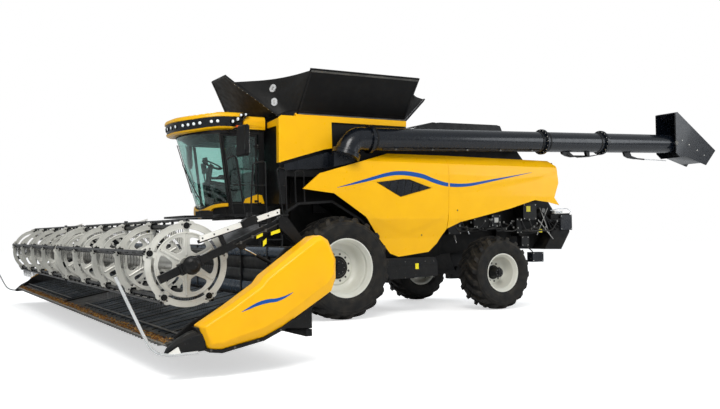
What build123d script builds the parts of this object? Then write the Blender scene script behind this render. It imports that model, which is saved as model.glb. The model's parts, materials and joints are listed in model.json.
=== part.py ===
from build123d import *
import os
from math import cos, radians, sin, tan

os.makedirs("parts", exist_ok=True)

# Combine harvester with a wide draper header. X points forward, Y to the machine's left, Z up.
# Sizes are in mm. Stations along X are measured from the front axle's centre line, heights from the
# ground. At the end every piece is moved by front_axle_x, so that the origin lies on the ground under
# the middle of the whole machine.

front_axle_x = 2575
seat_gap = 0.3          # between pieces that rest on each other
pin_clearance = 0.05    # radial, between a pin and its bore
running_gap = 6         # between a moving piece and its neighbour
sheet = 30              # thickness of the formed outer panels

# ---- Wheels and axles ----
front_tyre_radius, front_tyre_width, front_track_y = 1030, 800, 1625
rear_tyre_radius, rear_tyre_width, rear_track_y = 810, 700, 1630
front_rim_radius, rear_rim_radius = 565, 400
wheelbase = 3900
lug_height = 60
front_lugs, rear_lugs = 20, 18
spindle_radius = 70
front_hub_y, rear_hub_y = 1500, 1480     # where each wheel's disc sits against its hub
disc_thickness = 40
beam_height = 260
rear_beam_height = 200
kingpin_y, kingpin_radius = 1120, 45

# ---- Chassis and body ----
core_half_width = 850
core_top = 2850
rear_core_top = 2480
panel_y = 1800          # outermost plane of the side panels
panel_seam_x = -2600
tank_front_x, tank_rear_x = 1130, -1750
tank_half_width, tank_floor, tank_rim = 1450, 2855, 4020
tank_wall = 40

# ---- Cab ----
cab_half_width = 950
cab_rear_x, cab_sill_x, cab_brow_x = 1300, 2420, 3080
cab_floor_z, cab_top_z = 2100, 3780
cab_wall = 45
windscreen_bulge = 150
door_front_x = 2200      # front edge of the door opening in the cab's left side
roof_front_x, roof_half_width, roof_height = 3400, 1010, 270
roof_bulge = 170
lamp_radius = 38

# ---- Unloading auger ----
auger_y, auger_radius = 1790, 230
auger_rise = 1.72       # degrees above level
auger_height = 3600     # of its centre line above the front axle
turret_lean = 20        # degrees by which the turret's axis leans backwards
turret_x, turret_z = -120, 3310
fold_x, auger_end_x = -7040, -9400
flange_radius, flange_thickness = 290, 24

# ---- Header ----
header_half_width = 6600
feeder_pivot_x, feeder_pivot_z = 950, 1620
feeder_half_height, feeder_half_width, feeder_slope = 310, 740, 21.75
header_back_x = 3000
knife_x, knife_z = 4900, 400
reel_x, reel_z = 4600, 1350
reel_tube_radius, reel_ring_radius, bat_radius = 85, 530, 25
disc_count, bat_count = 10, 5
tine_length = 230
arm_pivot_x, arm_pivot_z = 3380, 1880
arm_y = 6480

frame_shift = Location((front_axle_x, 0, 0))


def side_slab(outline, y_from, y_to, mode=Mode.ADD):
    """Solid of an outline in X and Z between two planes across the machine."""
    with BuildSketch(Plane.XZ.offset(-max(y_from, y_to))) as profile:
        Polygon(*outline, align=None)
    extrude(profile.sketch, amount=abs(y_to - y_from), mode=mode)


def cross_slab(outline, x_from, x_to, mode=Mode.ADD):
    """Solid of an outline in Y and Z between two stations along the machine."""
    with BuildSketch(Plane.YZ.offset(min(x_from, x_to))) as profile:
        Polygon(*outline, align=None)
    extrude(profile.sketch, amount=abs(x_to - x_from), mode=mode)


def plan_slab(outline, z_from, z_to, mode=Mode.ADD):
    """Solid of an outline in X and Y between two heights."""
    with BuildSketch(Plane.XY.offset(min(z_from, z_to))) as profile:
        Polygon(*outline, align=None)
    extrude(profile.sketch, amount=abs(z_to - z_from), mode=mode)


def block(x_from, x_to, y_from, y_to, z_from, z_to, mode=Mode.ADD):
    """Box between two corners."""
    with Locations(((x_from + x_to) / 2, (y_from + y_to) / 2, (z_from + z_to) / 2)):
        Box(abs(x_to - x_from), abs(y_to - y_from), abs(z_to - z_from), mode=mode)


def rod(start, end, radius, mode=Mode.ADD):
    """Round bar between two points."""
    run = Vector(*end) - Vector(*start)
    with Locations(Plane(origin=Vector(*start) + run / 2, z_dir=run)):
        Cylinder(radius, run.length, mode=mode)


def bent_tube(points, radius, bend):
    """Round tube along a route of straight runs with equal bends."""
    with BuildLine() as route:
        FilletPolyline(*points, radius=bend)
    start = route.line @ 0
    with BuildSketch(Plane(origin=start, z_dir=route.line % 0)) as section:
        Circle(radius)
    sweep(section.sketch, path=route.line)


def thick(points, depth_y, depth_z):
    """Closed outline of a bent sheet: the points, and the same points moved by a depth."""
    return points + [(y + depth_y, z + depth_z) for y, z in reversed(points)]


# ================= Wheels =================

def build_tyre(x, radius, width, track_y, rim_radius, lugs):
    """Tractor tyre with two rows of slanting lugs, on the left side."""
    carcass = radius - lug_height
    depth = carcass - rim_radius
    axle = Axis((x, 0, radius), (0, 1, 0))
    section = Plane(origin=(x, track_y, radius), x_dir=(0, 1, 0), z_dir=(1, 0, 0))
    half = [(width * 0.22, carcass), (width * 0.43, carcass - depth * 0.09),
            (width * 0.5, rim_radius + depth * 0.6), (width * 0.5, rim_radius + depth * 0.3),
            (width * 0.44, rim_radius)]
    # A lug runs straight from the tread's middle to its shoulder, ahead of its start by an angle.
    lug_tip, lug_root, lug_depth = lug_height * 0.5, lug_height * 1.1, lug_height * 3.4
    reach, lead = width * 0.49, width * 0.4 / radius
    crown = radius - lug_height * 0.25
    start = Vector(x, track_y - lug_tip, 2 * radius - lug_tip * sin(lead / 2))
    end = Vector(x + crown * sin(lead), track_y + reach, radius + crown * cos(lead))
    with BuildPart() as lug:
        with BuildSketch(Plane(origin=start, x_dir=(cos(lead / 2), 0, -sin(lead / 2)), z_dir=(0, 1, 0))):
            Polygon((-lug_tip, 0), (lug_tip, 0), (lug_root, lug_depth), (-lug_root, lug_depth), align=None)
        extrude(amount=(end - start).length, dir=end - start)
        with BuildSketch(section):
            Polygon((-lug_tip, carcass - lug_depth), (-lug_tip, radius * 1.1), (width * 0.34, radius * 1.1),
                    (reach, radius - lug_height * 2.2), (width * 0.46, carcass - lug_depth), align=None)
        extrude(amount=radius, both=True, mode=Mode.INTERSECT)
    pitch = 360 / lugs
    left_row = [lug.part.rotate(axle, i * pitch) for i in range(lugs)]
    centre_plane = Plane(origin=(x, track_y, radius), z_dir=(0, 1, 0))
    other = mirror(lug.part, about=centre_plane)
    right_row = [other.rotate(axle, (i + 0.5) * pitch) for i in range(lugs)]
    with BuildPart() as tyre:
        with BuildSketch(section):
            Polygon(*half, *[(-y, r) for y, r in reversed(half)], align=None)
        revolve(axis=axle)
        add(left_row + right_row)
    return tyre


def build_rim(x, radius, rim_radius, width, track_y, hub_y, cap_radius, cap_out):
    """Dished steel wheel on the left side, its disc against the hub at hub_y."""
    axle = Axis((x, 0, radius), (0, 1, 0))
    outer = rim_radius - seat_gap
    barrel = outer - 22
    out_y = track_y + width * 0.45
    in_y = track_y - width * 0.45
    with BuildPart() as rim:
        with BuildSketch(Plane(origin=(x, 0, radius), x_dir=(0, 1, 0), z_dir=(1, 0, 0))):
            Polygon(
                (in_y - 24, rim_radius + 26),
                (in_y - 8, rim_radius + 26),
                (in_y - 2, outer),
                (out_y + 2, outer),
                (out_y + 8, rim_radius + 26),
                (out_y + 24, rim_radius + 26),
                (out_y + 14, barrel),
                (hub_y + disc_thickness + 190, barrel),
                (hub_y + disc_thickness + 110, barrel - 60),
                (hub_y + disc_thickness, barrel * 0.55),
                (hub_y + disc_thickness, cap_radius),
                (hub_y + cap_out, cap_radius * 0.9),
                (hub_y + cap_out, 0),
                (hub_y + disc_thickness, 0),
                (hub_y + disc_thickness, spindle_radius + pin_clearance),
                (hub_y + seat_gap, spindle_radius + pin_clearance),
                (hub_y + seat_gap, barrel * 0.6),
                (hub_y + 90, barrel - 80),
                (hub_y + 160, barrel - 22),
                (in_y - 14, barrel - 22),
                align=None,
            )
        revolve(axis=axle)
    return rim


front_tyre_left = build_tyre(0, front_tyre_radius, front_tyre_width, front_track_y, front_rim_radius, front_lugs)
rear_tyre_left = build_tyre(-wheelbase, rear_tyre_radius, rear_tyre_width, rear_track_y, rear_rim_radius,
                            rear_lugs)
front_rim_left = build_rim(0, front_tyre_radius, front_rim_radius, front_tyre_width, front_track_y,
                           front_hub_y, 150, 110)
rear_rim_left = build_rim(-wheelbase, rear_tyre_radius, rear_rim_radius, rear_tyre_width, rear_track_y,
                          rear_hub_y, 130, 260)

# ================= Axles =================

with BuildPart() as front_axle:
    block(-150, 150, -1000, 1000, front_tyre_radius - beam_height / 2, front_tyre_radius + beam_height / 2)
    rod((0, 990, front_tyre_radius), (0, front_hub_y, front_tyre_radius), 250)
    rod((0, front_hub_y - 1, front_tyre_radius), (0, front_hub_y + disc_thickness - 2, front_tyre_radius),
        spindle_radius)
    rod((0, -990, front_tyre_radius), (0, -front_hub_y, front_tyre_radius), 250)
    rod((0, 1 - front_hub_y, front_tyre_radius), (0, 2 - front_hub_y - disc_thickness, front_tyre_radius),
        spindle_radius)

knuckle_radius, knuckle_height = 95, 190
fork_plate = 55
fork_low = rear_tyre_radius - knuckle_height / 2 - seat_gap
fork_high = rear_tyre_radius + knuckle_height / 2 + seat_gap
steer_arm = 240
hitch_x, hitch_radius, hitch_length, jaw_thickness = -4620, 16.5, 110, 30
hitch_z = rear_tyre_radius - rear_beam_height / 2 - hitch_length / 2 + 1
with BuildPart() as rear_axle:
    block(-wheelbase - 110, -wheelbase + 110, -900, 900, rear_tyre_radius - rear_beam_height / 2,
          rear_tyre_radius + rear_beam_height / 2)
    for side in (-1, 1):
        block(-wheelbase - 100, -wheelbase + 100, side * 880, side * kingpin_y, fork_low - fork_plate, fork_low)
        block(-wheelbase - 100, -wheelbase + 100, side * 880, side * kingpin_y, fork_high,
              fork_high + fork_plate)
        rod((-wheelbase, side * kingpin_y, fork_low - fork_plate), (-wheelbase, side * kingpin_y, fork_low), 100)
        rod((-wheelbase, side * kingpin_y, fork_high), (-wheelbase, side * kingpin_y, fork_high + fork_plate),
            100)
        rod((-wheelbase, side * kingpin_y, fork_low - 100), (-wheelbase, side * kingpin_y, fork_high + 100),
            kingpin_radius + pin_clearance, Mode.SUBTRACT)
        block(-wheelbase - 100, -wheelbase + 100, side * 880, side * 960, fork_low - fork_plate,
              fork_high + fork_plate)
    # The steering cylinder's barrel is bolted behind the beam.
    rod((-wheelbase - steer_arm, -330, rear_tyre_radius), (-wheelbase - steer_arm, 330, rear_tyre_radius), 50)
    block(-wheelbase - steer_arm + 30, -wheelbase - 110, -120, 120, rear_tyre_radius - 40,
          rear_tyre_radius + 40)
    rod((-wheelbase - steer_arm, -400, rear_tyre_radius), (-wheelbase - steer_arm, 400, rear_tyre_radius),
        25 + pin_clearance, Mode.SUBTRACT)
    side_slab([(-3600, 1250), (-4200, 1250), (-4030, rear_tyre_radius), (-3770, rear_tyre_radius)], -330, 330)
    # Two jaws under the beam take the pin of a towed trolley.
    for z in (hitch_z - hitch_length / 2, hitch_z + hitch_length / 2 - jaw_thickness):
        plan_slab([(-3800, -110), (-4500, -110), (hitch_x - 60, -50), (hitch_x - 60, 50), (-4500, 110),
                   (-3800, 110)], z, z + jaw_thickness)
    block(-4420, -3800, -110, 110, hitch_z - hitch_length / 2, hitch_z + hitch_length / 2)
    rod((hitch_x, 0, hitch_z - hitch_length), (hitch_x, 0, hitch_z + hitch_length), hitch_radius, Mode.SUBTRACT)

with BuildPart() as rear_knuckle_left:
    rod((-wheelbase, kingpin_y, fork_low + seat_gap), (-wheelbase, kingpin_y, fork_high - seat_gap),
        knuckle_radius)
    rod((-wheelbase, kingpin_y, fork_low - fork_plate), (-wheelbase, kingpin_y, fork_high + fork_plate),
        kingpin_radius)
    rod((-wheelbase, kingpin_y, rear_tyre_radius), (-wheelbase, rear_hub_y, rear_tyre_radius), 90)
    rod((-wheelbase, rear_hub_y - 20, rear_tyre_radius), (-wheelbase, rear_hub_y, rear_tyre_radius), 160)
    rod((-wheelbase, rear_hub_y - 1, rear_tyre_radius),
        (-wheelbase, rear_hub_y + disc_thickness - 2, rear_tyre_radius), spindle_radius)
    block(-wheelbase - steer_arm, -wheelbase, kingpin_y - 30, kingpin_y + 30, rear_tyre_radius - 25,
          rear_tyre_radius + 25)
    rod((-wheelbase - steer_arm, kingpin_y, rear_tyre_radius - 25),
        (-wheelbase - steer_arm, kingpin_y, rear_tyre_radius + 25), 45)

with BuildPart() as steering_rod:
    rod((-wheelbase - steer_arm, -1060, rear_tyre_radius), (-wheelbase - steer_arm, 1060, rear_tyre_radius), 25)

# ================= Body =================

core_outline = [
    (700, core_top), (700, 1850), (170, front_tyre_radius + beam_height / 2),
    (-160, front_tyre_radius + beam_height / 2), (-160, 700), (-2300, 700), (-2900, 1180), (-3500, 1250),
    (-4300, 1250), (-5000, 1500), (-5250, 2300), (-5250, rear_core_top), (-1900, rear_core_top),
    (-1900, core_top),
]
with BuildPart() as separator_body:
    side_slab(core_outline, -core_half_width, core_half_width)
    block(-3100, -4600, -620, 620, 2000, rear_core_top + 10, Mode.SUBTRACT)
    for side in (-1, 1):
        block(-wheelbase - 700, -wheelbase + 900, side * 700, side * (core_half_width + 10), 600, 1750,
              Mode.SUBTRACT)

with BuildPart() as engine_block:
    block(-3100 - seat_gap, -4600 + seat_gap, -620 + seat_gap, 620 - seat_gap, 2000, 3150)

# Covers of the tank, each hinged on the rim at its own rise above level.
cover_thickness = 30
side_cover_rise, front_cover_rise, rear_cover_rise = 51, 48, 45
side_cover_length, front_cover_length, rear_cover_length = 1030, 1250, 820
side_hinge_y = tank_half_width
side_hinge_z = tank_rim + 60 + cover_thickness * cos(radians(side_cover_rise)) + seat_gap
front_hinge_x, rear_hinge_x = 1070, -1700
front_hinge_z = tank_rim + cover_thickness * cos(radians(front_cover_rise)) + seat_gap
rear_hinge_z = tank_rim + cover_thickness * cos(radians(rear_cover_rise)) + seat_gap
cover_front_x, cover_rear_x = 810, -1680
cover_pin_radius, cover_knuckle_radius = 7, 14
cover_knuckle, cover_lug = 40, 30       # lengths along the hinge


def cover_lug_at(hinge, direction, foot_from, foot_to):
    """Lug past a cover's end, with the pin on which that end turns; direction points outwards."""
    near = Vector(*hinge) + direction * running_gap
    far = near + direction * cover_lug
    rod(near, far, cover_knuckle_radius)
    rod(near - direction * cover_knuckle, far, cover_pin_radius)
    block(foot_from[0], foot_to[0], foot_from[1], foot_to[1], foot_from[2], foot_to[2])


def cover_knuckle_at(hinge, direction):
    """Bored knuckle at a cover's end."""
    end = Vector(*hinge)
    rod(end - direction * cover_knuckle, end, cover_knuckle_radius)
    rod(end - direction * (cover_knuckle + 5), end + direction, cover_pin_radius + pin_clearance, Mode.SUBTRACT)


front_cover_half, rear_cover_half = 1300, 1380
lug_start, lug_end = running_gap, running_gap + cover_lug
with BuildPart() as grain_tank:
    block(tank_rear_x, tank_front_x, -tank_half_width, tank_half_width, tank_floor - 5, tank_rim)
    block(tank_rear_x + tank_wall, tank_front_x - tank_wall, tank_wall - tank_half_width,
          tank_half_width - tank_wall, tank_floor + tank_wall, tank_rim + 10, Mode.SUBTRACT)
    for side in (-1, 1):
        block(tank_front_x, 1200 - seat_gap, side * (cab_half_width - 400), side * tank_half_width, 2300, 3990)
        block(tank_front_x - 60, tank_front_x, side * (cab_half_width - 400), side * tank_half_width, 2300, 2860)
        across = Vector(0, side, 0)
        cover_lug_at((front_hinge_x, side * front_cover_half, front_hinge_z), across,
                     (front_hinge_x - cover_knuckle_radius, side * (front_cover_half + lug_start), tank_rim - 1),
                     (tank_front_x - 5, side * (front_cover_half + lug_end), front_hinge_z))
        cover_lug_at((rear_hinge_x, side * rear_cover_half, rear_hinge_z), across,
                     (tank_rear_x + 5, side * (rear_cover_half + lug_start), tank_rim - 1),
                     (rear_hinge_x + cover_knuckle_radius, side * (rear_cover_half + lug_end), rear_hinge_z))

corner_outline = [(1240, 3110), (1240, 3990), (1180, 4040), (80, 4035), (70, 3430), (250, 3400)]
with BuildPart() as tank_cladding:
    for side in (-1, 1):
        block(-1720, 860, side * (tank_half_width + seat_gap), side * (tank_half_width + 63), tank_rim - 60,
              tank_rim + 60)
        block(-1720, 860, side * (tank_half_width - 20), side * (tank_half_width + 63), tank_rim + seat_gap,
              tank_rim + 60)
        for x, way in ((cover_front_x, 1), (cover_rear_x, -1)):
            cover_lug_at((x, side * side_hinge_y, side_hinge_z), Vector(way, 0, 0),
                         (x + way * lug_start, side * (side_hinge_y - cover_knuckle_radius), tank_rim + 59),
                         (x + way * lug_end, side * (side_hinge_y + cover_knuckle_radius), side_hinge_z))
        side_slab(corner_outline, side * (tank_half_width + 62), side * (tank_half_width + 92))
        cross_slab([(side * (cab_half_width + 20), 3840), (side * (tank_half_width + 92), 3840),
                    (side * (tank_half_width + 92), 3990), (side * (cab_half_width + 20), 3950)], 1200, 1240)
        block(1200, 1240, side * (tank_half_width - 20), side * (tank_half_width + 92), 3110, 3850)

hood_outline = [(-1905, rear_core_top), (-1905, 3900), (-2200, 4010), (-4300, 3960), (-4900, 3700),
                (-5200, 3360), (-5230, rear_core_top)]
with BuildPart() as engine_hood:
    side_slab(hood_outline, -1180, 1180)
    side_slab([(-1935, rear_core_top - 1), (-1935, 3870), (-2200, 3975), (-4290, 3925), (-4880, 3680),
               (-5170, 3350), (-5200, rear_core_top - 1)], -1150, 1150, Mode.SUBTRACT)

rear_cap_outline = [(-5255, 3330), (-5500, 3330), (-5650, 3210), (-5690, 2820), (-5560, 2480),
                    (-5255, 2400)]
with BuildPart() as rear_hood:
    side_slab(rear_cap_outline, -1550, 1550)
    side_slab([(-5255, 3290), (-5480, 3290), (-5610, 3190), (-5650, 2830), (-5530, 2510), (-5255, 2430)],
              -1510, 1510, Mode.SUBTRACT)
    block(-5285, -5255, -1550, 1550, 2400, 3330)

with BuildPart() as residue_spreaders:
    side_slab([(-5000 - seat_gap, 1500), (-5250 - seat_gap, 2300), (-5250 - seat_gap, 2400 - seat_gap),
               (-5560, 2400 - seat_gap), (-6000, 1900), (-6000, 1650), (-5700, 1300), (-5060, 1300)], -820, 820)
    for side in (-1, 1):
        side_slab([(-5995, 2100), (-6600, 2140), (-6580, 1680), (-6310, 1270), (-5790, 1280), (-5995, 1600)],
                  side * 90, side * 1180)

# Side panels: one bent section, cut to each panel's outline.
panel_section = [(1600, 3400), (1640, 3330), (1770, 3180), (panel_y, 2950), (panel_y, 2500), (1780, 2000),
                 (1660, 1600), (1600, 1150)]
front_panel_outline = [
    (850, 2590), (480, 2900), (-1170, 3360), (panel_seam_x + 3, 3365), (panel_seam_x + 3, 1782),
    (-2390, 1480), (-2190, 1300), (-1450, 1210), (-1240, 1280), (-930, 1620), (-570, 2050), (160, 2510),
]
rear_panel_outline = [
    (panel_seam_x - 3, 3365), (-5510, 3340), (-5660, 3220), (-5700, 2820), (-5570, 2480), (-5720, 2310),
    (-5360, 2380), (-4990, 2420), (-4260, 2220), (-2930, 1930), (panel_seam_x - 3, 1790),
]
vent_outline = [(-790, 2750), (-1460, 2830), (-1610, 2830), (-2170, 2650), (-1380, 2450)]
with BuildPart() as front_panel_left:
    cross_slab(thick(panel_section, -sheet, 0), 900, -2700)
    side_slab(front_panel_outline, 0, 2000, Mode.INTERSECT)
    side_slab(vent_outline, panel_y - sheet * 0.5, 2000, Mode.SUBTRACT)
with BuildPart() as rear_panel_left:
    cross_slab(thick(panel_section, -sheet, 0), -2500, -5800)
    side_slab(rear_panel_outline, 0, 2000, Mode.INTERSECT)
with BuildPart() as wheel_guards:
    for side in (-1, 1):
        side_slab([(-1120, 1185), (-2380, 1185), (-2440, 1080), (-2440, 780), (-1250, 740), (-1120, 900)],
                  side * (core_half_width + seat_gap), side * 1560)
        side_slab([(1150, 2110), (1150, 2150), (850, 2330), (100, 2380), (-600, 1990), (-880, 1650),
                   (-850, 1620), (-560, 1950), (110, 2330), (840, 2285), (1110, 2110)], side * 900, side * 1590)
        block(-100, 200, side * (core_half_width + seat_gap), side * 910, 2150, 2325)
    bent_tube([(700, 1560, 2300), (720, 1560, 2950), (910, 1560, 2950), (890, 1560, 2290)], 17, 60)
# The side panels hang on a frame of posts and rails that stands off the core.
frame_in, frame_out = 1500, 1560
with BuildPart() as panel_frame:
    for side in (-1, 1):
        block(-5200, -1250, side * frame_in, side * frame_out, 3270, 3330)
        for x in (-5150, -3900, -2670, -1280):
            block(x - 30, x + 30, side * (core_half_width + seat_gap), side * frame_out, 2400, 2460)
            block(x - 30, x + 30, side * frame_in, side * frame_out, 2400, 3300)
        for x in (-2700, -1310):
            block(x, x + 60, side * frame_in, side * (panel_y - sheet - seat_gap), 2520, 2940)
        block(-5200, -1250, side * frame_in, side * (1590 - seat_gap), 3310, 3330)

# ================= Cab =================

slant = Vector(cab_brow_x - cab_sill_x, 0, cab_top_z - cab_floor_z)


def cab_plan(inset):
    """Plan of the cab at floor height: straight sides and a bowed front, moved in by an inset."""
    side_y = cab_half_width - inset
    sill = cab_sill_x - inset
    with BuildLine() as edge:
        Line((sill - 2200, side_y), (sill, side_y))
        ThreePointArc((sill, side_y), (sill + windscreen_bulge, 0), (sill, -side_y))
        Line((sill, -side_y), (sill - 2200, -side_y))
        Line((sill - 2200, -side_y), (sill - 2200, side_y))
    return edge.line


with BuildPart() as cab_shell:
    with BuildSketch(Plane.XY.offset(cab_floor_z)) as outer_plan:
        add(cab_plan(0))
        make_face()
    extrude(outer_plan.sketch, amount=slant.length, dir=slant)
    with BuildSketch(Plane.XY.offset(cab_floor_z)) as inner_plan:
        add(cab_plan(cab_wall))
        make_face()
    inner = extrude(inner_plan.sketch, amount=slant.length + 100, dir=slant, mode=Mode.PRIVATE)
    with BuildPart(mode=Mode.PRIVATE) as room:
        add(inner)
        block(cab_rear_x + cab_wall, 4500, -2000, 2000, cab_floor_z + cab_wall, cab_top_z + 200,
              Mode.INTERSECT)
    add(room.part, mode=Mode.SUBTRACT)
    block(-500, cab_rear_x, -2000, 2000, cab_floor_z - 10, cab_top_z + 10, Mode.SUBTRACT)


def cab_side(inset_low, inset_high, rear):
    """Outline of a side window, inside the posts and rails."""
    lean = (cab_brow_x - cab_sill_x) / (cab_top_z - cab_floor_z)
    low, high = cab_floor_z + inset_low, cab_top_z - inset_high
    return [
        (rear, low), (cab_sill_x - 90 + lean * (low - cab_floor_z), low),
        (cab_sill_x - 90 + lean * (high - cab_floor_z), high), (rear, high),
    ]


def shrunk(outline, gap_x, gap_z=None):
    """Window outline drawn in by a gap on every side."""
    rear, low = min(x for x, z in outline), min(z for x, z in outline)
    gap_z = gap_x if gap_z is None else gap_z
    return [(x + (gap_x if x == rear else -gap_x), z + (gap_z if z == low else -gap_z)) for x, z in outline]


side_window = cab_side(130, 90, cab_rear_x + 140)
quarter_window = cab_side(130, 90, door_front_x + 55)
door_opening = [(x if x < door_front_x else door_front_x, z) for x, z in side_window]
with BuildPart(mode=Mode.PRIVATE) as window_cuts:
    side_slab(side_window, -2000, 0)
    side_slab(quarter_window, 0, 2000)
    side_slab(door_opening, 0, 2000)
    block(cab_rear_x - 100, cab_rear_x + 100, -780, 780, cab_floor_z + 900, cab_top_z - 120)
with BuildPart() as windscreen_cut:
    block(2200, 4200, -cab_half_width + 80, cab_half_width - 80, cab_floor_z + 130, cab_top_z - 90)
    side_slab([(cab_sill_x - 40, cab_floor_z), (cab_sill_x + 900, cab_floor_z), (4300, cab_top_z),
               (cab_brow_x - 40, cab_top_z)], -2000, 2000, Mode.INTERSECT)
# The windscreen fills its opening, and is as thick as the opening's edge is deep less its seal.
with BuildPart() as cab_glass:
    add(cab_shell.part)
    block(2200, 4200, 80 + seat_gap - cab_half_width, cab_half_width - 80 - seat_gap,
          cab_floor_z + 130 + seat_gap, cab_top_z - 90 - seat_gap, Mode.INTERSECT)
    side_slab([(cab_sill_x - 40 + seat_gap, cab_floor_z), (cab_sill_x + 900, cab_floor_z), (4300, cab_top_z),
               (cab_brow_x - 40 + seat_gap, cab_top_z)], -2000, 2000, Mode.INTERSECT)
    with BuildSketch(Plane.XY.offset(cab_floor_z)) as pane_plan:
        add(cab_plan(14))
        make_face()
    extrude(pane_plan.sketch, amount=slant.length + 100, dir=slant, mode=Mode.INTERSECT)
    side_slab(shrunk(side_window, seat_gap), 10 - cab_half_width, 22 - cab_half_width)
    side_slab(shrunk(quarter_window, seat_gap), cab_half_width - 22, cab_half_width - 10)
    block(cab_rear_x + 10, cab_rear_x + 22, seat_gap - 780, 780 - seat_gap, cab_floor_z + 900 + seat_gap,
          cab_top_z - 120 - seat_gap)

# The door closes the left opening, hinged on the rear post.
door_gap = 8
door_outer = shrunk(door_opening, door_gap)
door_inner = shrunk(door_opening, 70, 60)
door_hinge_x, door_hinge_y = cab_rear_x + 144, cab_half_width + 16
door_hinge_heights = (2350, 3450)
door_knuckle_radius, door_pin_radius, door_knuckle = 14, 7, 43
with BuildPart() as cab_frame:
    add(cab_shell.part)
    add(window_cuts.part, mode=Mode.SUBTRACT)
    add(windscreen_cut.part, mode=Mode.SUBTRACT)
    for z in door_hinge_heights:
        block(door_hinge_x - 70, door_hinge_x, cab_half_width - 1, door_hinge_y, z - 2 - door_knuckle, z - 2)
        rod((door_hinge_x, door_hinge_y, z - 2 - door_knuckle), (door_hinge_x, door_hinge_y, z - 2),
            door_knuckle_radius)
        rod((door_hinge_x, door_hinge_y, z - 2 - door_knuckle), (door_hinge_x, door_hinge_y, z + door_knuckle),
            door_pin_radius)

with BuildPart() as cab_door:
    side_slab(door_outer, cab_half_width - 36, cab_half_width)
    side_slab(door_inner, cab_half_width - 40, cab_half_width + 10, Mode.SUBTRACT)
    block(door_front_x - 60, door_front_x - 20, cab_half_width, cab_half_width + 30, 2750, 2900)
    for z in door_hinge_heights:
        block(door_hinge_x, door_hinge_x + 70, cab_half_width - 1, door_hinge_y, z + 2, z + 2 + door_knuckle)
        rod((door_hinge_x, door_hinge_y, z + 2), (door_hinge_x, door_hinge_y, z + 2 + door_knuckle),
            door_knuckle_radius)
        rod((door_hinge_x, door_hinge_y, z - 5), (door_hinge_x, door_hinge_y, z + 10 + door_knuckle),
            door_pin_radius + pin_clearance, Mode.SUBTRACT)
with BuildPart() as door_glass:
    side_slab(shrunk(door_inner, seat_gap), cab_half_width - 24, cab_half_width - 12)

with BuildPart() as cab_roof:
    with BuildSketch(Plane.XY.offset(cab_top_z + seat_gap)):
        with BuildLine():
            Line((cab_rear_x, -roof_half_width), (roof_front_x - roof_bulge, -roof_half_width))
            ThreePointArc((roof_front_x - roof_bulge, -roof_half_width), (roof_front_x, 0),
                          (roof_front_x - roof_bulge, roof_half_width))
            Line((roof_front_x - roof_bulge, roof_half_width), (cab_rear_x, roof_half_width))
            Line((cab_rear_x, roof_half_width), (cab_rear_x, -roof_half_width))
        make_face()
    extrude(amount=roof_height, taper=22)

with BuildPart() as roof_lamps:
    for y in (-780, -560, -340, 340, 560, 780):
        brow = cab_brow_x + windscreen_bulge * (1 - (y / cab_half_width) ** 2)
        rod((brow + 40, y, cab_top_z - lamp_radius), (brow + 100, y, cab_top_z - lamp_radius), lamp_radius)

with BuildPart() as cab_interior:
    block(1560, 2080, -260, 260, 2500, 2620)
    side_slab([(1560, 2560), (1700, 2560), (1560, 3250), (1440, 3250)], -250, 250)
    block(1650, 1990, -180, 180, cab_floor_z + cab_wall + seat_gap, 2500)
    block(2300, 2440, -70, 70, cab_floor_z + cab_wall + seat_gap, cab_floor_z + cab_wall + 40)
    rod((2370, 0, cab_floor_z + cab_wall + 30), (2250, 0, 2780), 45)
    with BuildSketch(Plane(origin=(2247, 0, 2790), z_dir=(-0.45, 0, 0.9))):
        Circle(205)
        Circle(178, mode=Mode.SUBTRACT)
        Rectangle(370, 40)
    extrude(amount=24)

# Hand rails on the platform, as points in X and Z: rear foot, rear top, front top, front foot.
rail_y = 1760
platform_rails = (
    ((1180, 2090), (1200, 2960), (1390, 3000), (1260, 2090)),
    ((1600, 2090), (1620, 3110), (1870, 3050), (1920, 2090)),
    ((2040, 2090), (2210, 3210), (2400, 3110), (2270, 2090)),
)
mirror_x = 2025
with BuildPart() as access_platform:
    for side in (-1, 1):
        block(700 + seat_gap, 2500, side * 620, side * 720, 2040, cab_floor_z - seat_gap)
    for x in (1250, 2200):
        block(x, x + 80, 621, 1650, 1995, 2056)
    plan_slab([(1160, 951), (2500, 951), (2500, 1700), (2350, 1800), (1160, 1800)], 2055, 2095)
    plan_slab([(cab_sill_x + 130, -950), (2870, -700), (2870, 700), (cab_sill_x + 130, 950), (2501, 951),
               (2460, 951), (2460, -951)], 2055, 2095)
    for x in (1300, 1750):
        rod((x, 1790, 600), (x, 1790, 2080), 20)
    for step in range(5):
        block(1300, 1750, 1740, 1840, 640 + step * 320, 665 + step * 320)
    for rear_foot, rear_top, front_top, front_foot in platform_rails:
        bent_tube([(x, rail_y, z) for x, z in (rear_foot, rear_top, front_top, front_foot)], 17, 60)
        rod((rear_foot[0], rail_y, 2640), (front_foot[0], rail_y, 2640), 12)
    for side in (-1, 1):
        block(mirror_x - 20, mirror_x + 20, side * 1620, side * 1830, 3310, 3770)
        rod((mirror_x, side * 1725, 3745), (mirror_x, side * (cab_half_width + 10), 3745), 16)
        block(mirror_x - 30, mirror_x + 30, side * (cab_half_width + seat_gap), side * (cab_half_width + 22),
              3712, 3778)

# ================= Grain tank covers =================

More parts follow.
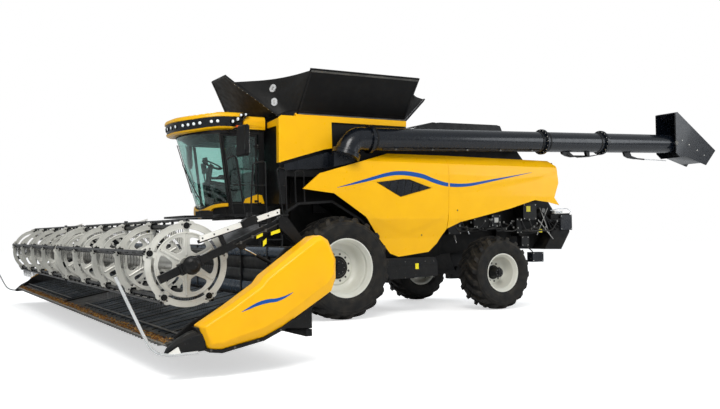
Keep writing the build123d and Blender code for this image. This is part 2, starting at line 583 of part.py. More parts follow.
side_cover_plane = Plane(
    origin=(0, side_hinge_y, side_hinge_z), x_dir=(1, 0, 0),
    z_dir=(0, -sin(radians(side_cover_rise)), cos(radians(side_cover_rise))),
)
with BuildPart() as left_cover:
    with BuildSketch(side_cover_plane):
        Polygon((cover_rear_x, 0), (cover_front_x, 0), (cover_front_x, side_cover_length),
                (cover_rear_x, side_cover_length), align=None)
    extrude(amount=-cover_thickness)
    for x, way in ((cover_front_x, 1), (cover_rear_x, -1)):
        cover_knuckle_at((x, side_hinge_y, side_hinge_z), Vector(way, 0, 0))
with BuildPart() as front_cover:
    with BuildSketch(Plane(origin=(front_hinge_x, 0, front_hinge_z), x_dir=(0, 1, 0),
                           z_dir=(-sin(radians(front_cover_rise)), 0, cos(radians(front_cover_rise))))):
        Polygon((-front_cover_half, 0), (-530, -1050), (-400, -front_cover_length), (400, -front_cover_length),
                (530, -1050), (front_cover_half, 0), align=None)
    extrude(amount=-cover_thickness)
    for side in (-1, 1):
        cover_knuckle_at((front_hinge_x, side * front_cover_half, front_hinge_z), Vector(0, side, 0))
with BuildPart() as rear_cover:
    with BuildSketch(Plane(origin=(rear_hinge_x, 0, rear_hinge_z), x_dir=(0, 1, 0),
                           z_dir=(sin(radians(rear_cover_rise)), 0, cos(radians(rear_cover_rise))))):
        Polygon((-rear_cover_half, 0), (rear_cover_half, 0), (rear_cover_half, rear_cover_length),
                (-rear_cover_half, rear_cover_length), align=None)
    extrude(amount=-cover_thickness)
    for side in (-1, 1):
        cover_knuckle_at((rear_hinge_x, side * rear_cover_half, rear_hinge_z), Vector(0, side, 0))

# The corner cloths are clamped to the inner faces of neighbouring covers, and fold inwards once.
cloth_thickness = 8
cloth_inset, cloth_low = 25, 60      # from a cover's side edge, and from its hinge


def fold_normal(corners):
    """Direction square to a flat fold."""
    return (corners[1] - corners[0]).cross(corners[2] - corners[0]).normalized()


def corner_cloth(first, first_normal, second, second_normal):
    """Cloth of two flat folds between an edge on one cover and an edge on the next."""
    low_a, high_a = (Vector(*point) for point in first)
    low_b, high_b = (Vector(*point) for point in second)
    lifts = []
    for normal in (first_normal, second_normal):
        tilt = max(abs(fold_normal(fold).dot(normal)) for fold in ((low_a, high_a, high_b), (low_a, high_b, low_b)))
        lifts.append(normal * (seat_gap + cloth_thickness / 2 * tilt))
    low_a, high_a = low_a + lifts[0], high_a + lifts[0]
    low_b, high_b = low_b + lifts[1], high_b + lifts[1]
    for fold in ((low_a, high_a, high_b), (low_a, high_b, low_b)):
        plane = Plane(origin=fold[0], x_dir=fold[1] - fold[0], z_dir=fold_normal(fold))
        corners = [plane.to_local_coords(point) for point in fold]
        with BuildSketch(plane) as flat:
            Polygon(*[(corner.X, corner.Y) for corner in corners], align=None)
        extrude(flat.sketch, amount=cloth_thickness / 2, both=True)


def on_side_cover(x, run):
    """Point on the left cover's inner face, at a distance from its hinge."""
    return (x, side_hinge_y + run * cos(radians(side_cover_rise)), side_hinge_z + run * sin(radians(side_cover_rise)))


def on_front_cover(y, run):
    """Point on the front cover's inner face."""
    return (front_hinge_x + run * cos(radians(front_cover_rise)), y,
            front_hinge_z + run * sin(radians(front_cover_rise)))


def on_rear_cover(y, run):
    """Point on the rear cover's inner face."""
    return (rear_hinge_x - run * cos(radians(rear_cover_rise)), y, rear_hinge_z + run * sin(radians(rear_cover_rise)))


side_normal = Vector(0, -sin(radians(side_cover_rise)), cos(radians(side_cover_rise)))
front_normal = Vector(-sin(radians(front_cover_rise)), 0, cos(radians(front_cover_rise)))
rear_normal = Vector(sin(radians(rear_cover_rise)), 0, cos(radians(rear_cover_rise)))
front_edge_slope = (front_cover_half - 530) / 1050
side_run = side_cover_length * 0.95
with BuildPart() as corner_cloths:
    corner_cloth(
        (on_side_cover(cover_front_x - cloth_inset, cloth_low), on_side_cover(cover_front_x - cloth_inset, side_run)),
        side_normal,
        (on_front_cover(front_cover_half - front_edge_slope * cloth_low - cloth_inset * 1.5, cloth_low),
         on_front_cover(front_cover_half - front_edge_slope * 1030 - cloth_inset * 1.5, 1030)),
        front_normal)
    corner_cloth(
        (on_side_cover(cover_rear_x + cloth_inset, cloth_low), on_side_cover(cover_rear_x + cloth_inset, side_run * 0.85)),
        side_normal,
        (on_rear_cover(rear_cover_half - cloth_inset, cloth_low),
         on_rear_cover(rear_cover_half - cloth_inset, rear_cover_length - cloth_inset)),
        rear_normal)
    mirror(about=Plane.XZ)

# ================= Unloading auger =================

lean, rise = radians(turret_lean), radians(auger_rise)
turret_up = Vector(-sin(lean), 0, cos(lean))
auger_along = Vector(-cos(rise), 0, sin(rise))
turret_centre = Vector(turret_x, auger_y, turret_z)


def auger_point(x):
    """Point of the auger's centre line at a station."""
    return Vector(x, auger_y, auger_height - x * tan(rise))


# Where the turret's axis meets the auger's.
meet = turret_centre + turret_up * (
    (auger_height - turret_x * tan(rise) - turret_z) / (turret_up.Z + turret_up.X * tan(rise)))
elbow_bend = 330
fold_gap = 2
fold_hinge_y = auger_y - flange_radius - 50
fold_pin_radius, fold_lug_thickness = 20, 36
outer_lug, inner_lug = 90, 40
auger_up = Vector(sin(rise), 0, cos(rise))


def fold_point(height):
    """Point on the axis on which the auger folds."""
    return Vector(fold_x, fold_hinge_y, auger_point(fold_x).Z) + auger_up * height


def fold_lug(height, run_from, run_to):
    """Lug from a fold flange to round the fold's pin, at a height along the pin; runs are counted forwards."""
    reach = auger_y - 200 - fold_hinge_y
    with Locations(Plane(origin=fold_point(height), x_dir=(cos(rise), 0, -sin(rise)), z_dir=auger_up)):
        Cylinder(42, fold_lug_thickness)
        with Locations(((run_from + run_to) / 2, reach / 2, 0)):
            Box(run_to - run_from, reach, fold_lug_thickness)


swing_pin_radius, swing_pin_length = 90, 90
with BuildPart() as auger_turret:
    with Locations(Plane(origin=turret_centre - turret_up * 30, z_dir=turret_up)):
        Cylinder(flange_radius, 60)
    with Locations(Plane(origin=turret_centre + turret_up * (swing_pin_length / 2 - 1), z_dir=turret_up)):
        Cylinder(swing_pin_radius, swing_pin_length)
    side_slab([(-380, 3130), (-371, 3158), (160, 3350), (1120, 3080), (1120, 2960), (160, 3030)],
              tank_half_width + seat_gap, tank_half_width + 61)
    side_slab([(-330, 3168), (160, 3346), (160, 3040)], tank_half_width + seat_gap, auger_y)

with BuildPart() as auger_elbow:
    bent_tube([turret_centre + turret_up * running_gap, meet,
               auger_point(-640)], auger_radius + 12, elbow_bend)
    with Locations(Plane(origin=turret_centre + turret_up * (running_gap + 15), z_dir=turret_up)):
        Cylinder(flange_radius, 30)
    with Locations(Plane(origin=auger_point(-640) - auger_along * 15, z_dir=auger_along)):
        Cylinder(flange_radius, 30)
    with Locations(Plane(origin=turret_centre + turret_up * 60, z_dir=turret_up)):
        Cylinder(swing_pin_radius + pin_clearance, 120, mode=Mode.SUBTRACT)

with BuildPart() as auger_tube:
    add(auger_elbow.part)
    rod(auger_point(-640), auger_point(fold_x), auger_radius)
    for x in (-655, -5188, -5212, fold_x + 12):
        with Locations(Plane(origin=auger_point(x), z_dir=auger_along)):
            Cylinder(flange_radius, flange_thickness)
    # Lugs above and below carry the pin on which the end tube folds.
    for height in (-outer_lug, outer_lug):
        fold_lug(height, 3, 20)
    rod(fold_point(-outer_lug - 25), fold_point(outer_lug + 25), fold_pin_radius)

spout_x, spout_z = -9330, auger_point(-9330).Z
spout_half_width = 310
spout_wall = 14
with BuildPart() as auger_end_tube:
    for height in (-inner_lug, inner_lug):
        fold_lug(height, -42, -5)
    rod(fold_point(-outer_lug), fold_point(outer_lug), fold_pin_radius + pin_clearance, Mode.SUBTRACT)
    rod(auger_point(fold_x - fold_gap), auger_point(auger_end_x), auger_radius)
    with Locations(Plane(origin=auger_point(fold_x - fold_gap - 12), z_dir=auger_along)):
        Cylinder(flange_radius, flange_thickness)
    rod((spout_x, auger_y - spout_half_width - 12, spout_z), (spout_x, auger_y + spout_half_width + 12, spout_z), 30)
    rod(auger_point(auger_end_x + 320), auger_point(auger_end_x - 10), auger_radius - 12,
        Mode.SUBTRACT)

spout_outline = [(-9310, 3640), (-9310, 4640), (-9400, 4660), (-10790, 3740), (-10420, 3350), (-9620, 3560),
                 (-9480, 3520)]
# The mouth is open below as far as spout_lip_x, so that the spout tilts past the tube's end.
spout_lip_x = -9500
spout_inner = [(-9300, 3500), (-9300, 4620), (-9396, 4640), (-10830, 3700), (-10440, 3340), (-9620, 3574),
               (spout_lip_x, 3540), (spout_lip_x, 3500)]
spout_fall = Vector(-1390, -920).normalized()
spout_out = Vector(spout_fall.Y, -spout_fall.X)


def on_spout(distance, height):
    """Point beside the spout's sloping back, in X and Z, at a distance down it from its top edge."""
    point = Vector(-9400, 4660) + spout_fall * distance + spout_out * height
    return (point.X, point.Y)


with BuildPart() as auger_spout:
    side_slab(spout_outline, auger_y - spout_half_width, auger_y + spout_half_width)
    side_slab(spout_inner, auger_y - spout_half_width + spout_wall, auger_y + spout_half_width - spout_wall,
              Mode.SUBTRACT)
    rod((spout_x, auger_y - 400, spout_z), (spout_x, auger_y + 400, spout_z), 30 + pin_clearance, Mode.SUBTRACT)
    for y in (-220, -110, 0, 110, 220):
        side_slab([on_spout(90, -5), on_spout(120, 18), on_spout(1520, 18), on_spout(1550, -5)],
                  auger_y + y - 8, auger_y + y + 8)

# ================= Feeder house =================

slope = radians(feeder_slope)
feeder_face_x = header_back_x
feeder_run = feeder_face_x - feeder_pivot_x


def feeder_line(offset, x):
    """Height at a station of a line along the feeder, offset upwards from its centre line."""
    return feeder_pivot_z + offset / cos(slope) - (x - feeder_pivot_x) * tan(slope)


def feeder_profile(offset):
    """Side outline of the feeder house between its rear arc and its front face."""
    top = (feeder_pivot_x + offset * sin(slope), feeder_pivot_z + offset * cos(slope))
    bottom = (feeder_pivot_x - offset * sin(slope), feeder_pivot_z - offset * cos(slope))
    back = (feeder_pivot_x - offset * cos(slope), feeder_pivot_z + offset * sin(slope))
    with BuildLine() as edge:
        ThreePointArc(top, back, bottom)
        Polyline(bottom, (feeder_face_x, feeder_line(-offset, feeder_face_x)),
                 (feeder_face_x, feeder_line(offset, feeder_face_x)), top)
    return edge.line


# Plates on the body's front that hold the feeder's trunnions, and its lift cylinders.
bracket_inner, bracket_outer = feeder_half_width + 10, feeder_half_width + 50
lift_base_x, lift_base_z = 320, 860
lift_eye_x = 2300
lift_eye_z = feeder_line(-feeder_half_height, lift_eye_x) - 75
lift_y = 560
lift_run = Vector(lift_eye_x - lift_base_x, 0, lift_eye_z - lift_base_z)
lift_along = lift_run.normalized()


def along_lift(distance, side):
    """Point on a lift cylinder's centre line."""
    return (lift_base_x + lift_along.X * distance, side * lift_y, lift_base_z + lift_along.Z * distance)


with BuildPart() as feeder_mounts:
    for side in (-1, 1):
        side_slab([(700 + seat_gap, 2000), (700 + seat_gap, 1850), (502, 1580), (600, 1500), (900, 1500),
                   (1060, 1560), (1060, 1700), (950, 1760)], side * bracket_inner, side * bracket_outer)
        rod((feeder_pivot_x, side * (bracket_inner - 20), feeder_pivot_z),
            (feeder_pivot_x, side * (bracket_outer + 20), feeder_pivot_z), 60 + pin_clearance, Mode.SUBTRACT)
    for side in (-1, 1):
        for cheek in (-1, 1):
            y = side * lift_y + cheek * 82
            side_slab([(150 + seat_gap, 780), (380, 780), (400, 920), (300, 960), (150 + seat_gap, 1150)],
                      y - 15, y + 15)
        rod((lift_base_x, side * lift_y - 97, lift_base_z), (lift_base_x, side * lift_y + 97, lift_base_z), 30)

with BuildPart() as feeder_house:
    with BuildSketch(Plane.XZ.offset(-feeder_half_width)) as feeder_side:
        add(feeder_profile(feeder_half_height))
        make_face()
    extrude(feeder_side.sketch, amount=2 * feeder_half_width)
    with BuildSketch(Plane.XZ.offset(25 - feeder_half_width)) as tunnel_side:
        Polygon((feeder_pivot_x, feeder_line(feeder_half_height - 25, feeder_pivot_x)),
                (feeder_face_x + 10, feeder_line(feeder_half_height - 25, feeder_face_x + 10)),
                (feeder_face_x + 10, feeder_line(25 - feeder_half_height, feeder_face_x + 10)),
                (feeder_pivot_x, feeder_line(25 - feeder_half_height, feeder_pivot_x)), align=None)
    extrude(tunnel_side.sketch, amount=2 * (feeder_half_width - 25), mode=Mode.SUBTRACT)
    for side in (-1, 1):
        rod((feeder_pivot_x, side * (feeder_half_width - 20), feeder_pivot_z),
            (feeder_pivot_x, side * (feeder_half_width + 60), feeder_pivot_z), 60)
    for side in (-1, 1):
        for cheek in (-1, 1):
            y = side * lift_y + cheek * 56
            side_slab([(lift_eye_x - 60, lift_eye_z - 50), (lift_eye_x + 50, lift_eye_z - 50),
                       (lift_eye_x + 120, feeder_line(-feeder_half_height, lift_eye_x + 120)),
                       (lift_eye_x - 120, feeder_line(-feeder_half_height, lift_eye_x - 120))],
                      y - 15, y + 15)
        rod((lift_eye_x, side * lift_y - 70, lift_eye_z), (lift_eye_x, side * lift_y + 70, lift_eye_z), 26)

barrel_length = 1180
lift_eye_play = 5         # radial: the eye drifts on its pin as the header lifts
with BuildPart() as lift_barrels:
    for side in (-1, 1):
        rod(along_lift(60, side), along_lift(barrel_length, side), 62)
        rod((lift_base_x, side * lift_y - 40, lift_base_z), (lift_base_x, side * lift_y + 40, lift_base_z), 62)
        rod((lift_base_x, side * lift_y - 60, lift_base_z), (lift_base_x, side * lift_y + 60, lift_base_z),
            30 + pin_clearance, Mode.SUBTRACT)
        rod(along_lift(300, side), along_lift(barrel_length + 10, side), 38 + pin_clearance, Mode.SUBTRACT)
with BuildPart() as lift_rods:
    for side in (-1, 1):
        rod(along_lift(700, side), along_lift(lift_run.length - 40, side), 38)
        rod((lift_eye_x, side * lift_y - 35, lift_eye_z), (lift_eye_x, side * lift_y + 35, lift_eye_z), 50)
        rod((lift_eye_x, side * lift_y - 60, lift_eye_z), (lift_eye_x, side * lift_y + 60, lift_eye_z),
            26 + lift_eye_play, Mode.SUBTRACT)
# ================= Header =================

deck_back_x, deck_back_z, deck_front_z = 3120, 800, 440
deck_slope = (deck_back_z - deck_front_z) / (knife_x - deck_back_x)
deck_front_x = knife_x - 60
belt_depth = 60
opening_half = 700
end_plate = 30
frame_tube = 90
rail_heights = (1500, 1250, 950, 425)


def deck_height(x):
    """Height of the draper belts' upper face."""
    return deck_back_z - (x - deck_back_x) * deck_slope


# Reel arms: their centre line runs from the pivot on the header's back to the reel's axis and past it.
arm_run = Vector(reel_x - arm_pivot_x, 0, reel_z - arm_pivot_z)
arm_along = arm_run.normalized()
arm_up = Vector(-arm_along.Z, 0, arm_along.X)
arm_length = 1760
arm_half_height, arm_half_width = 50, 30
arm_places = (-arm_y, 0, arm_y)
arm_pin_radius, cylinder_pin_radius = 30, 12
reel_eye_play = 3.5       # radial: the eye drifts on its pin as the reel lifts


def on_arm(distance, height):
    """Point beside a reel arm's centre line, in X and Z."""
    point = Vector(arm_pivot_x, 0, arm_pivot_z) + arm_along * distance + arm_up * height
    return (point.X, point.Z)


def arm_box(start, end, half_height, y_from, y_to, mode=Mode.ADD):
    """Bar along a reel arm, between two distances from its pivot."""
    side_slab([on_arm(start, -half_height), on_arm(start, half_height), on_arm(end, half_height),
               on_arm(end, -half_height)], y_from, y_to, mode)


cylinder_foot_x, cylinder_foot_z = 3500, 1330
cylinder_eye = on_arm(620, -arm_half_height - 40)
cylinder_run = Vector(cylinder_eye[0] - cylinder_foot_x, 0, cylinder_eye[1] - cylinder_foot_z)
cylinder_along = cylinder_run.normalized()


def along_cylinder(distance, y):
    """Point on a reel lift cylinder's centre line."""
    return (cylinder_foot_x + cylinder_along.X * distance, y, cylinder_foot_z + cylinder_along.Z * distance)


with BuildPart() as header_frame:
    back, front = header_back_x + seat_gap, header_back_x + frame_tube
    for z, half in zip(rail_heights, (0, 0, opening_half, 0)):
        for side in (-1, 1):
            block(back, front, side * half, side * header_half_width, z - frame_tube / 2, z + frame_tube / 2)
    for side in (-1, 1):
        block(back + 40, front - 30, side * opening_half, side * header_half_width, 460, 1500)
        block(back, front, side * opening_half, side * (opening_half + 80), 430, 1500)
        side_slab([(back, 480), (back, 1540), (3350, 1540), (3900, 1000), (deck_front_x - 200, 640),
                   (deck_front_x, 470), (deck_front_x, 350), (4380, 345), (3540, 520)],
                  side * (header_half_width - end_plate), side * header_half_width)
        for x, z in ((3200, 1200), (3400, 800), (4200, 550)):
            block(x - 30, x + 30, side * (header_half_width - 1), side * (header_half_width + 100), z - 30, z + 30)
    block(back + 40, front - 30, -opening_half, opening_half, 1250, 1500)
    # Ribs under the deck, and the skids that some of them carry.
    for y in range(-6000, 6001, 1000):
        side_slab([(back, 400), (back, 460), (3060, deck_height(3060) - belt_depth - seat_gap),
                   (deck_front_x, deck_height(deck_front_x) - belt_depth - seat_gap), (deck_front_x, 365),
                   (3900, 400)], y - 15, y + 15)
    for y in (-6000, -4000, -2000, 2000, 4000, 6000):
        side_slab([(3900, 402), (4400, 380), (4780, 368), (4780, 320), (4380, 300), (3880, 380)], y - 120, y + 120)
    # Brackets of the reel arms, and feet of their cylinders.
    for y in arm_places:
        for cheek in (-1, 1):
            side_slab([(back, 1540), (front, 1540), (3200, 1600), (arm_pivot_x + 60, arm_pivot_z - 70),
                       (arm_pivot_x + 60, arm_pivot_z + 60), (arm_pivot_x - 60, arm_pivot_z + 60)],
                      y + cheek * 52, y + cheek * 72)
            side_slab([(front - 10, 1290), (front - 10, 1210), (cylinder_foot_x + 35, cylinder_foot_z - 35),
                       (cylinder_foot_x + 35, cylinder_foot_z + 35), (cylinder_foot_x - 35, cylinder_foot_z + 35)],
                      y + cheek * 27, y + cheek * 37)
        rod((arm_pivot_x, y - 72, arm_pivot_z), (arm_pivot_x, y + 72, arm_pivot_z), arm_pin_radius)
        rod((cylinder_foot_x, y - 37, cylinder_foot_z), (cylinder_foot_x, y + 37, cylinder_foot_z),
            cylinder_pin_radius)

slat_pitch, slat_height = 300, 12
with BuildPart() as draper_belts:
    for side in (-1, 1):
        side_slab([(deck_back_x, deck_height(deck_back_x)), (deck_front_x - 5, deck_height(deck_front_x - 5)),
                   (deck_front_x - 5, deck_height(deck_front_x - 5) - belt_depth),
                   (deck_back_x, deck_height(deck_back_x) - belt_depth)], side * (opening_half + 20),
                  side * (header_half_width - end_plate - 15))
        for y in range(opening_half + 190, header_half_width - 100, slat_pitch):
            side_slab([(deck_back_x + 20, deck_height(deck_back_x + 20) - 2),
                       (deck_back_x + 20, deck_height(deck_back_x + 20) + slat_height),
                       (deck_front_x - 60, deck_height(deck_front_x - 60) + slat_height),
                       (deck_front_x - 60, deck_height(deck_front_x - 60) - 2)], side * (y - 12), side * (y + 12))
    side_slab([(3010, deck_height(3010) - 40), (deck_front_x - 5, deck_height(deck_front_x - 5) - 20),
               (deck_front_x - 5, deck_height(deck_front_x - 5) - belt_depth),
               (3010, deck_height(3010) - belt_depth)], -opening_half + 20, opening_half - 20)

guard_pitch, guard_height, guard_root, guard_point, guard_tip_x = 152, 22, 26, 7, knife_x + 110
guard_count = int((2 * header_half_width - 100) / guard_pitch)
with BuildPart() as cutterbar:
    side_slab([(deck_front_x + seat_gap, 440), (knife_x + 40, 415), (knife_x + 40, 385),
               (deck_front_x + seat_gap, 360)], -header_half_width, header_half_width)
    with BuildSketch(Plane.XY.offset(knife_z - guard_height / 2)) as guards:
        with GridLocations(0, guard_pitch, 1, guard_count):
            Polygon((knife_x + 20, -guard_root), (guard_tip_x, -guard_point), (guard_tip_x, guard_point),
                    (knife_x + 20, guard_root), align=None)
    extrude(guards.sketch, amount=guard_height)

shield_outline = [(4640, 640), (4530, 360), (4380, 340), (3820, 450), (3550, 570), (2870, 980), (2810, 1140),
                  (2810, 1390), (2920, 1640), (3020, 1700), (3140, 1680), (3810, 1210), (3890, 1110),
                  (4270, 860)]
with BuildPart() as end_shields:
    for side in (-1, 1):
        side_slab(shield_outline, side * (header_half_width + 100 + seat_gap), side * (header_half_width + 400))

divider_y = header_half_width + 30
with BuildPart() as dividers:
    for side in (-1, 1):
        side_slab([(4650, 600), (deck_front_x + 5, 540), (5020, 330), (4980, 300), (4570, 345)],
                  side * divider_y, side * (divider_y + 300))
        block(4700, 4800, side * (header_half_width + seat_gap), side * divider_y, 380, 440)
        y = side * (divider_y + 319)
        bent_tube([(4700, y, 330), (5150, y, 350), (5620, y, 1260)], 22, 260)

# ---- Reel ----
with BuildPart() as reel_arms:
    for y in arm_places:
        arm_box(0, arm_length, arm_half_height, y - arm_half_width, y + arm_half_width)
        rod((arm_pivot_x, y - 45, arm_pivot_z), (arm_pivot_x, y + 45, arm_pivot_z), 70)
        rod((arm_pivot_x, y - 60, arm_pivot_z), (arm_pivot_x, y + 60, arm_pivot_z),
            arm_pin_radius + pin_clearance, Mode.SUBTRACT)
        for cheek in (-1, 1):
            side_slab([on_arm(560, 1 - arm_half_height), on_arm(680, 1 - arm_half_height),
                       on_arm(650, -arm_half_height - 60), on_arm(590, -arm_half_height - 60)],
                      y + cheek * 17, y + cheek * 27)
        rod((cylinder_eye[0], y - 27, cylinder_eye[1]), (cylinder_eye[0], y + 27, cylinder_eye[1]),
            cylinder_pin_radius)
        # The bar above the arm, on two posts, and the clamp on top of it.
        side_slab([on_arm(20, 98), on_arm(20, 138), on_arm(1128, 239), on_arm(1128, 199)], y - 20, y + 20)
        for distance, height in ((120, 125), (800, 185)):
            arm_post = [on_arm(distance, arm_half_height - 5), on_arm(distance, height),
                        on_arm(distance + 60, height), on_arm(distance + 60, arm_half_height - 5)]
            side_slab(arm_post, y - 15, y + 15)
        side_slab([on_arm(430, 130), on_arm(430, 215), on_arm(530, 225), on_arm(530, 140)], y - 40, y + 40)

slide_gap = 0.5
journal_radius = 40
carrier_wall = 20
hub_distance = arm_run.length
with BuildPart() as reel_carriers:
    for y in arm_places:
        arm_box(hub_distance - 150, hub_distance + 150, arm_half_height + carrier_wall,
                y - arm_half_width - carrier_wall, y + arm_half_width + carrier_wall)
        arm_box(hub_distance - 160, hub_distance + 160, arm_half_height + slide_gap,
                y - arm_half_width - slide_gap, y + arm_half_width + slide_gap, Mode.SUBTRACT)
    for y, side in ((-arm_y, 1), (0, -1), (0, 1), (arm_y, -1)):
        face = y + side * (arm_half_width + carrier_wall)
        rod((reel_x, face, reel_z), (reel_x, face + side * 40, reel_z), 75)
        rod((reel_x, face + side, reel_z), (reel_x, face + side * 50, reel_z), journal_radius + pin_clearance,
            Mode.SUBTRACT)

# The reel is in two halves, one on each side of the middle arm. They turn together.
journal_length = 38
half_start = arm_half_width + carrier_wall + 40 + running_gap
half_end = arm_y - half_start
disc_thick = 14
discs_per_half = disc_count // 2
disc_spacing = (half_end - half_start - 120) / (discs_per_half - 1)
disc_places = [half_start + 60 + i * disc_spacing for i in range(discs_per_half)]
lobe_radius, lobe_centre = 85, reel_ring_radius - 40
ring_width = 90
spider_radius, spoke_count = 405, 6
bat_turns = [90 + i * 360 / bat_count for i in range(bat_count)]

with BuildPart() as reel_disc:
    with BuildSketch(Plane(origin=(reel_x, -disc_thick / 2, reel_z), x_dir=(1, 0, 0), z_dir=(0, 1, 0))):
        Circle(reel_ring_radius)
        with PolarLocations(lobe_centre, bat_count, start_angle=-90):
            Circle(lobe_radius)
        Circle(reel_ring_radius - ring_width, mode=Mode.SUBTRACT)
        Circle(spider_radius)
        with PolarLocations(reel_ring_radius - ring_width - 20, bat_count, start_angle=-90):
            Rectangle(60, 90)
        with PolarLocations(0, spoke_count, start_angle=30):
            Polygon((150, -26), (315, -112), (345, -95), (365, 0), (345, 95), (315, 112), (150, 26), align=None,
                    mode=Mode.SUBTRACT)
        with PolarLocations(lobe_centre, bat_count, start_angle=-90):
            Circle(bat_radius + seat_gap, mode=Mode.SUBTRACT)
    extrude(amount=disc_thick)
with BuildPart() as reel_spider:
    for side in (-1, 1):
        rod((reel_x, side * half_start, reel_z), (reel_x, side * half_end, reel_z), reel_tube_radius)
        rod((reel_x, side * (half_start - journal_length), reel_z),
            (reel_x, side * (half_end + journal_length), reel_z), journal_radius)
        add([reel_disc.part.moved(Location((0, side * y, 0))) for y in disc_places])

# Each bat is a tube with rows of tines that hang from it in the bays between the discs.
tine_pitch, tine_width, tine_thickness, comb_strip = 150, 10, 8, 30
comb_length = disc_spacing - disc_thick - 50
comb_tines = int((comb_length - 40) / tine_pitch) + 1
with BuildPart() as tine_comb:
    with BuildSketch(Plane(origin=(-tine_thickness / 2, 0, 0), x_dir=(0, 1, 0), z_dir=(1, 0, 0))):
        with Locations((0, -bat_radius)):
            Rectangle(comb_length, comb_strip)
        with Locations((0, -tine_length / 2)):
            with GridLocations(tine_pitch, 0, comb_tines, 1):
                Rectangle(tine_width, tine_length)
    extrude(amount=tine_thickness)
bays = [(near + far) / 2 for near, far in zip(disc_places, disc_places[1:])]
with BuildPart() as reel_bats:
    for side in (-1, 1):
        for turn in bat_turns:
            x, z = reel_x + lobe_centre * cos(radians(turn)), reel_z + lobe_centre * sin(radians(turn))
            rod((x, side * (half_start + 10), z), (x, side * (half_end - 10), z), bat_radius)
            add([tine_comb.part.moved(Location((x, side * y, z))) for y in bays])

with BuildPart() as reel_barrels:
    for y in arm_places:
        rod(along_cylinder(20, y), along_cylinder(cylinder_run.length * 0.55, y), 24)
        rod(along_cylinder(60, y), along_cylinder(cylinder_run.length, y), 12 + pin_clearance, Mode.SUBTRACT)
        rod((cylinder_foot_x, y - 24, cylinder_foot_z), (cylinder_foot_x, y + 24, cylinder_foot_z), 30)
        rod((cylinder_foot_x, y - 30, cylinder_foot_z), (cylinder_foot_x, y + 30, cylinder_foot_z),
            cylinder_pin_radius + pin_clearance, Mode.SUBTRACT)
with BuildPart() as reel_rods:
    for y in arm_places:
        rod(along_cylinder(100, y), along_cylinder(cylinder_run.length - 15, y), 12)
        rod((cylinder_eye[0], y - 15, cylinder_eye[1]), (cylinder_eye[0], y + 15, cylinder_eye[1]), 24)
        rod((cylinder_eye[0], y - 30, cylinder_eye[1]), (cylinder_eye[0], y + 30, cylinder_eye[1]),
            cylinder_pin_radius + reel_eye_play, Mode.SUBTRACT)


# ================= Pieces =================

def mirrored(piece):
    """The same piece on the machine's right side."""
    return mirror(piece.part, about=Plane.XZ)


pieces = {
    "front_tyre_left": front_tyre_left.part,
    "front_tyre_right": mirrored(front_tyre_left),
    "rear_tyre_left": rear_tyre_left.part,
    "rear_tyre_right": mirrored(rear_tyre_left),
    "front_rim_left": front_rim_left.part,
    "front_rim_right": mirrored(front_rim_left),
    "rear_rim_left": rear_rim_left.part,
    "rear_rim_right": mirrored(rear_rim_left),
    "front_axle": front_axle.part,
    "rear_axle": rear_axle.part,
    "rear_knuckle_left": rear_knuckle_left.part,
    "rear_knuckle_right": mirrored(rear_knuckle_left),
    "steering_rod": steering_rod.part,
    "separator_body": separator_body.part,
    "engine_block": engine_block.part,
    "grain_tank": grain_tank.part,
    "tank_cladding": tank_cladding.part,
    "engine_hood": engine_hood.part,
    "rear_hood": rear_hood.part,
    "residue_spreaders": residue_spreaders.part,
    "front_panel_left": front_panel_left.part,
    "front_panel_right": mirrored(front_panel_left),
    "rear_panel_left": rear_panel_left.part,
    "rear_panel_right": mirrored(rear_panel_left),
    "panel_frame": panel_frame.part,
    "wheel_guards": wheel_guards.part,
    "cab_frame": cab_frame.part,
    "cab_roof": cab_roof.part,
    "roof_lamps": roof_lamps.part,
    "cab_glass": cab_glass.part,
    "cab_door": cab_door.part,
    "door_glass": door_glass.part,
    "cab_interior": cab_interior.part,
    "access_platform": access_platform.part,
    "left_cover": left_cover.part,
    "right_cover": mirrored(left_cover),
    "front_cover": front_cover.part,
    "rear_cover": rear_cover.part,
    "corner_cloths": corner_cloths.part,
    "auger_turret": auger_turret.part,
    "auger_tube": auger_tube.part,
    "auger_end_tube": auger_end_tube.part,
    "auger_spout": auger_spout.part,
    "feeder_house": feeder_house.part,
    "feeder_mounts": feeder_mounts.part,
    "lift_barrels": lift_barrels.part,
    "lift_rods": lift_rods.part,
    "header_frame": header_frame.part,
    "draper_belts": draper_belts.part,
    "cutterbar": cutterbar.part,
    "end_shields": end_shields.part,
    "dividers": dividers.part,
    "reel_arms": reel_arms.part,
    "reel_carriers": reel_carriers.part,
    "reel_spider": reel_spider.part,
    "reel_bats": reel_bats.part,
    "reel_barrels": reel_barrels.part,
    "reel_rods": reel_rods.part,
}
for name, part in pieces.items():
    placed = part.moved(frame_shift)
    placed.label = name
    export_step(placed, f"parts/{name}.step")
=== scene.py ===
import json
import math
import random
from collections import namedtuple

import bmesh
import bpy
from mathutils import Matrix, Vector, noise


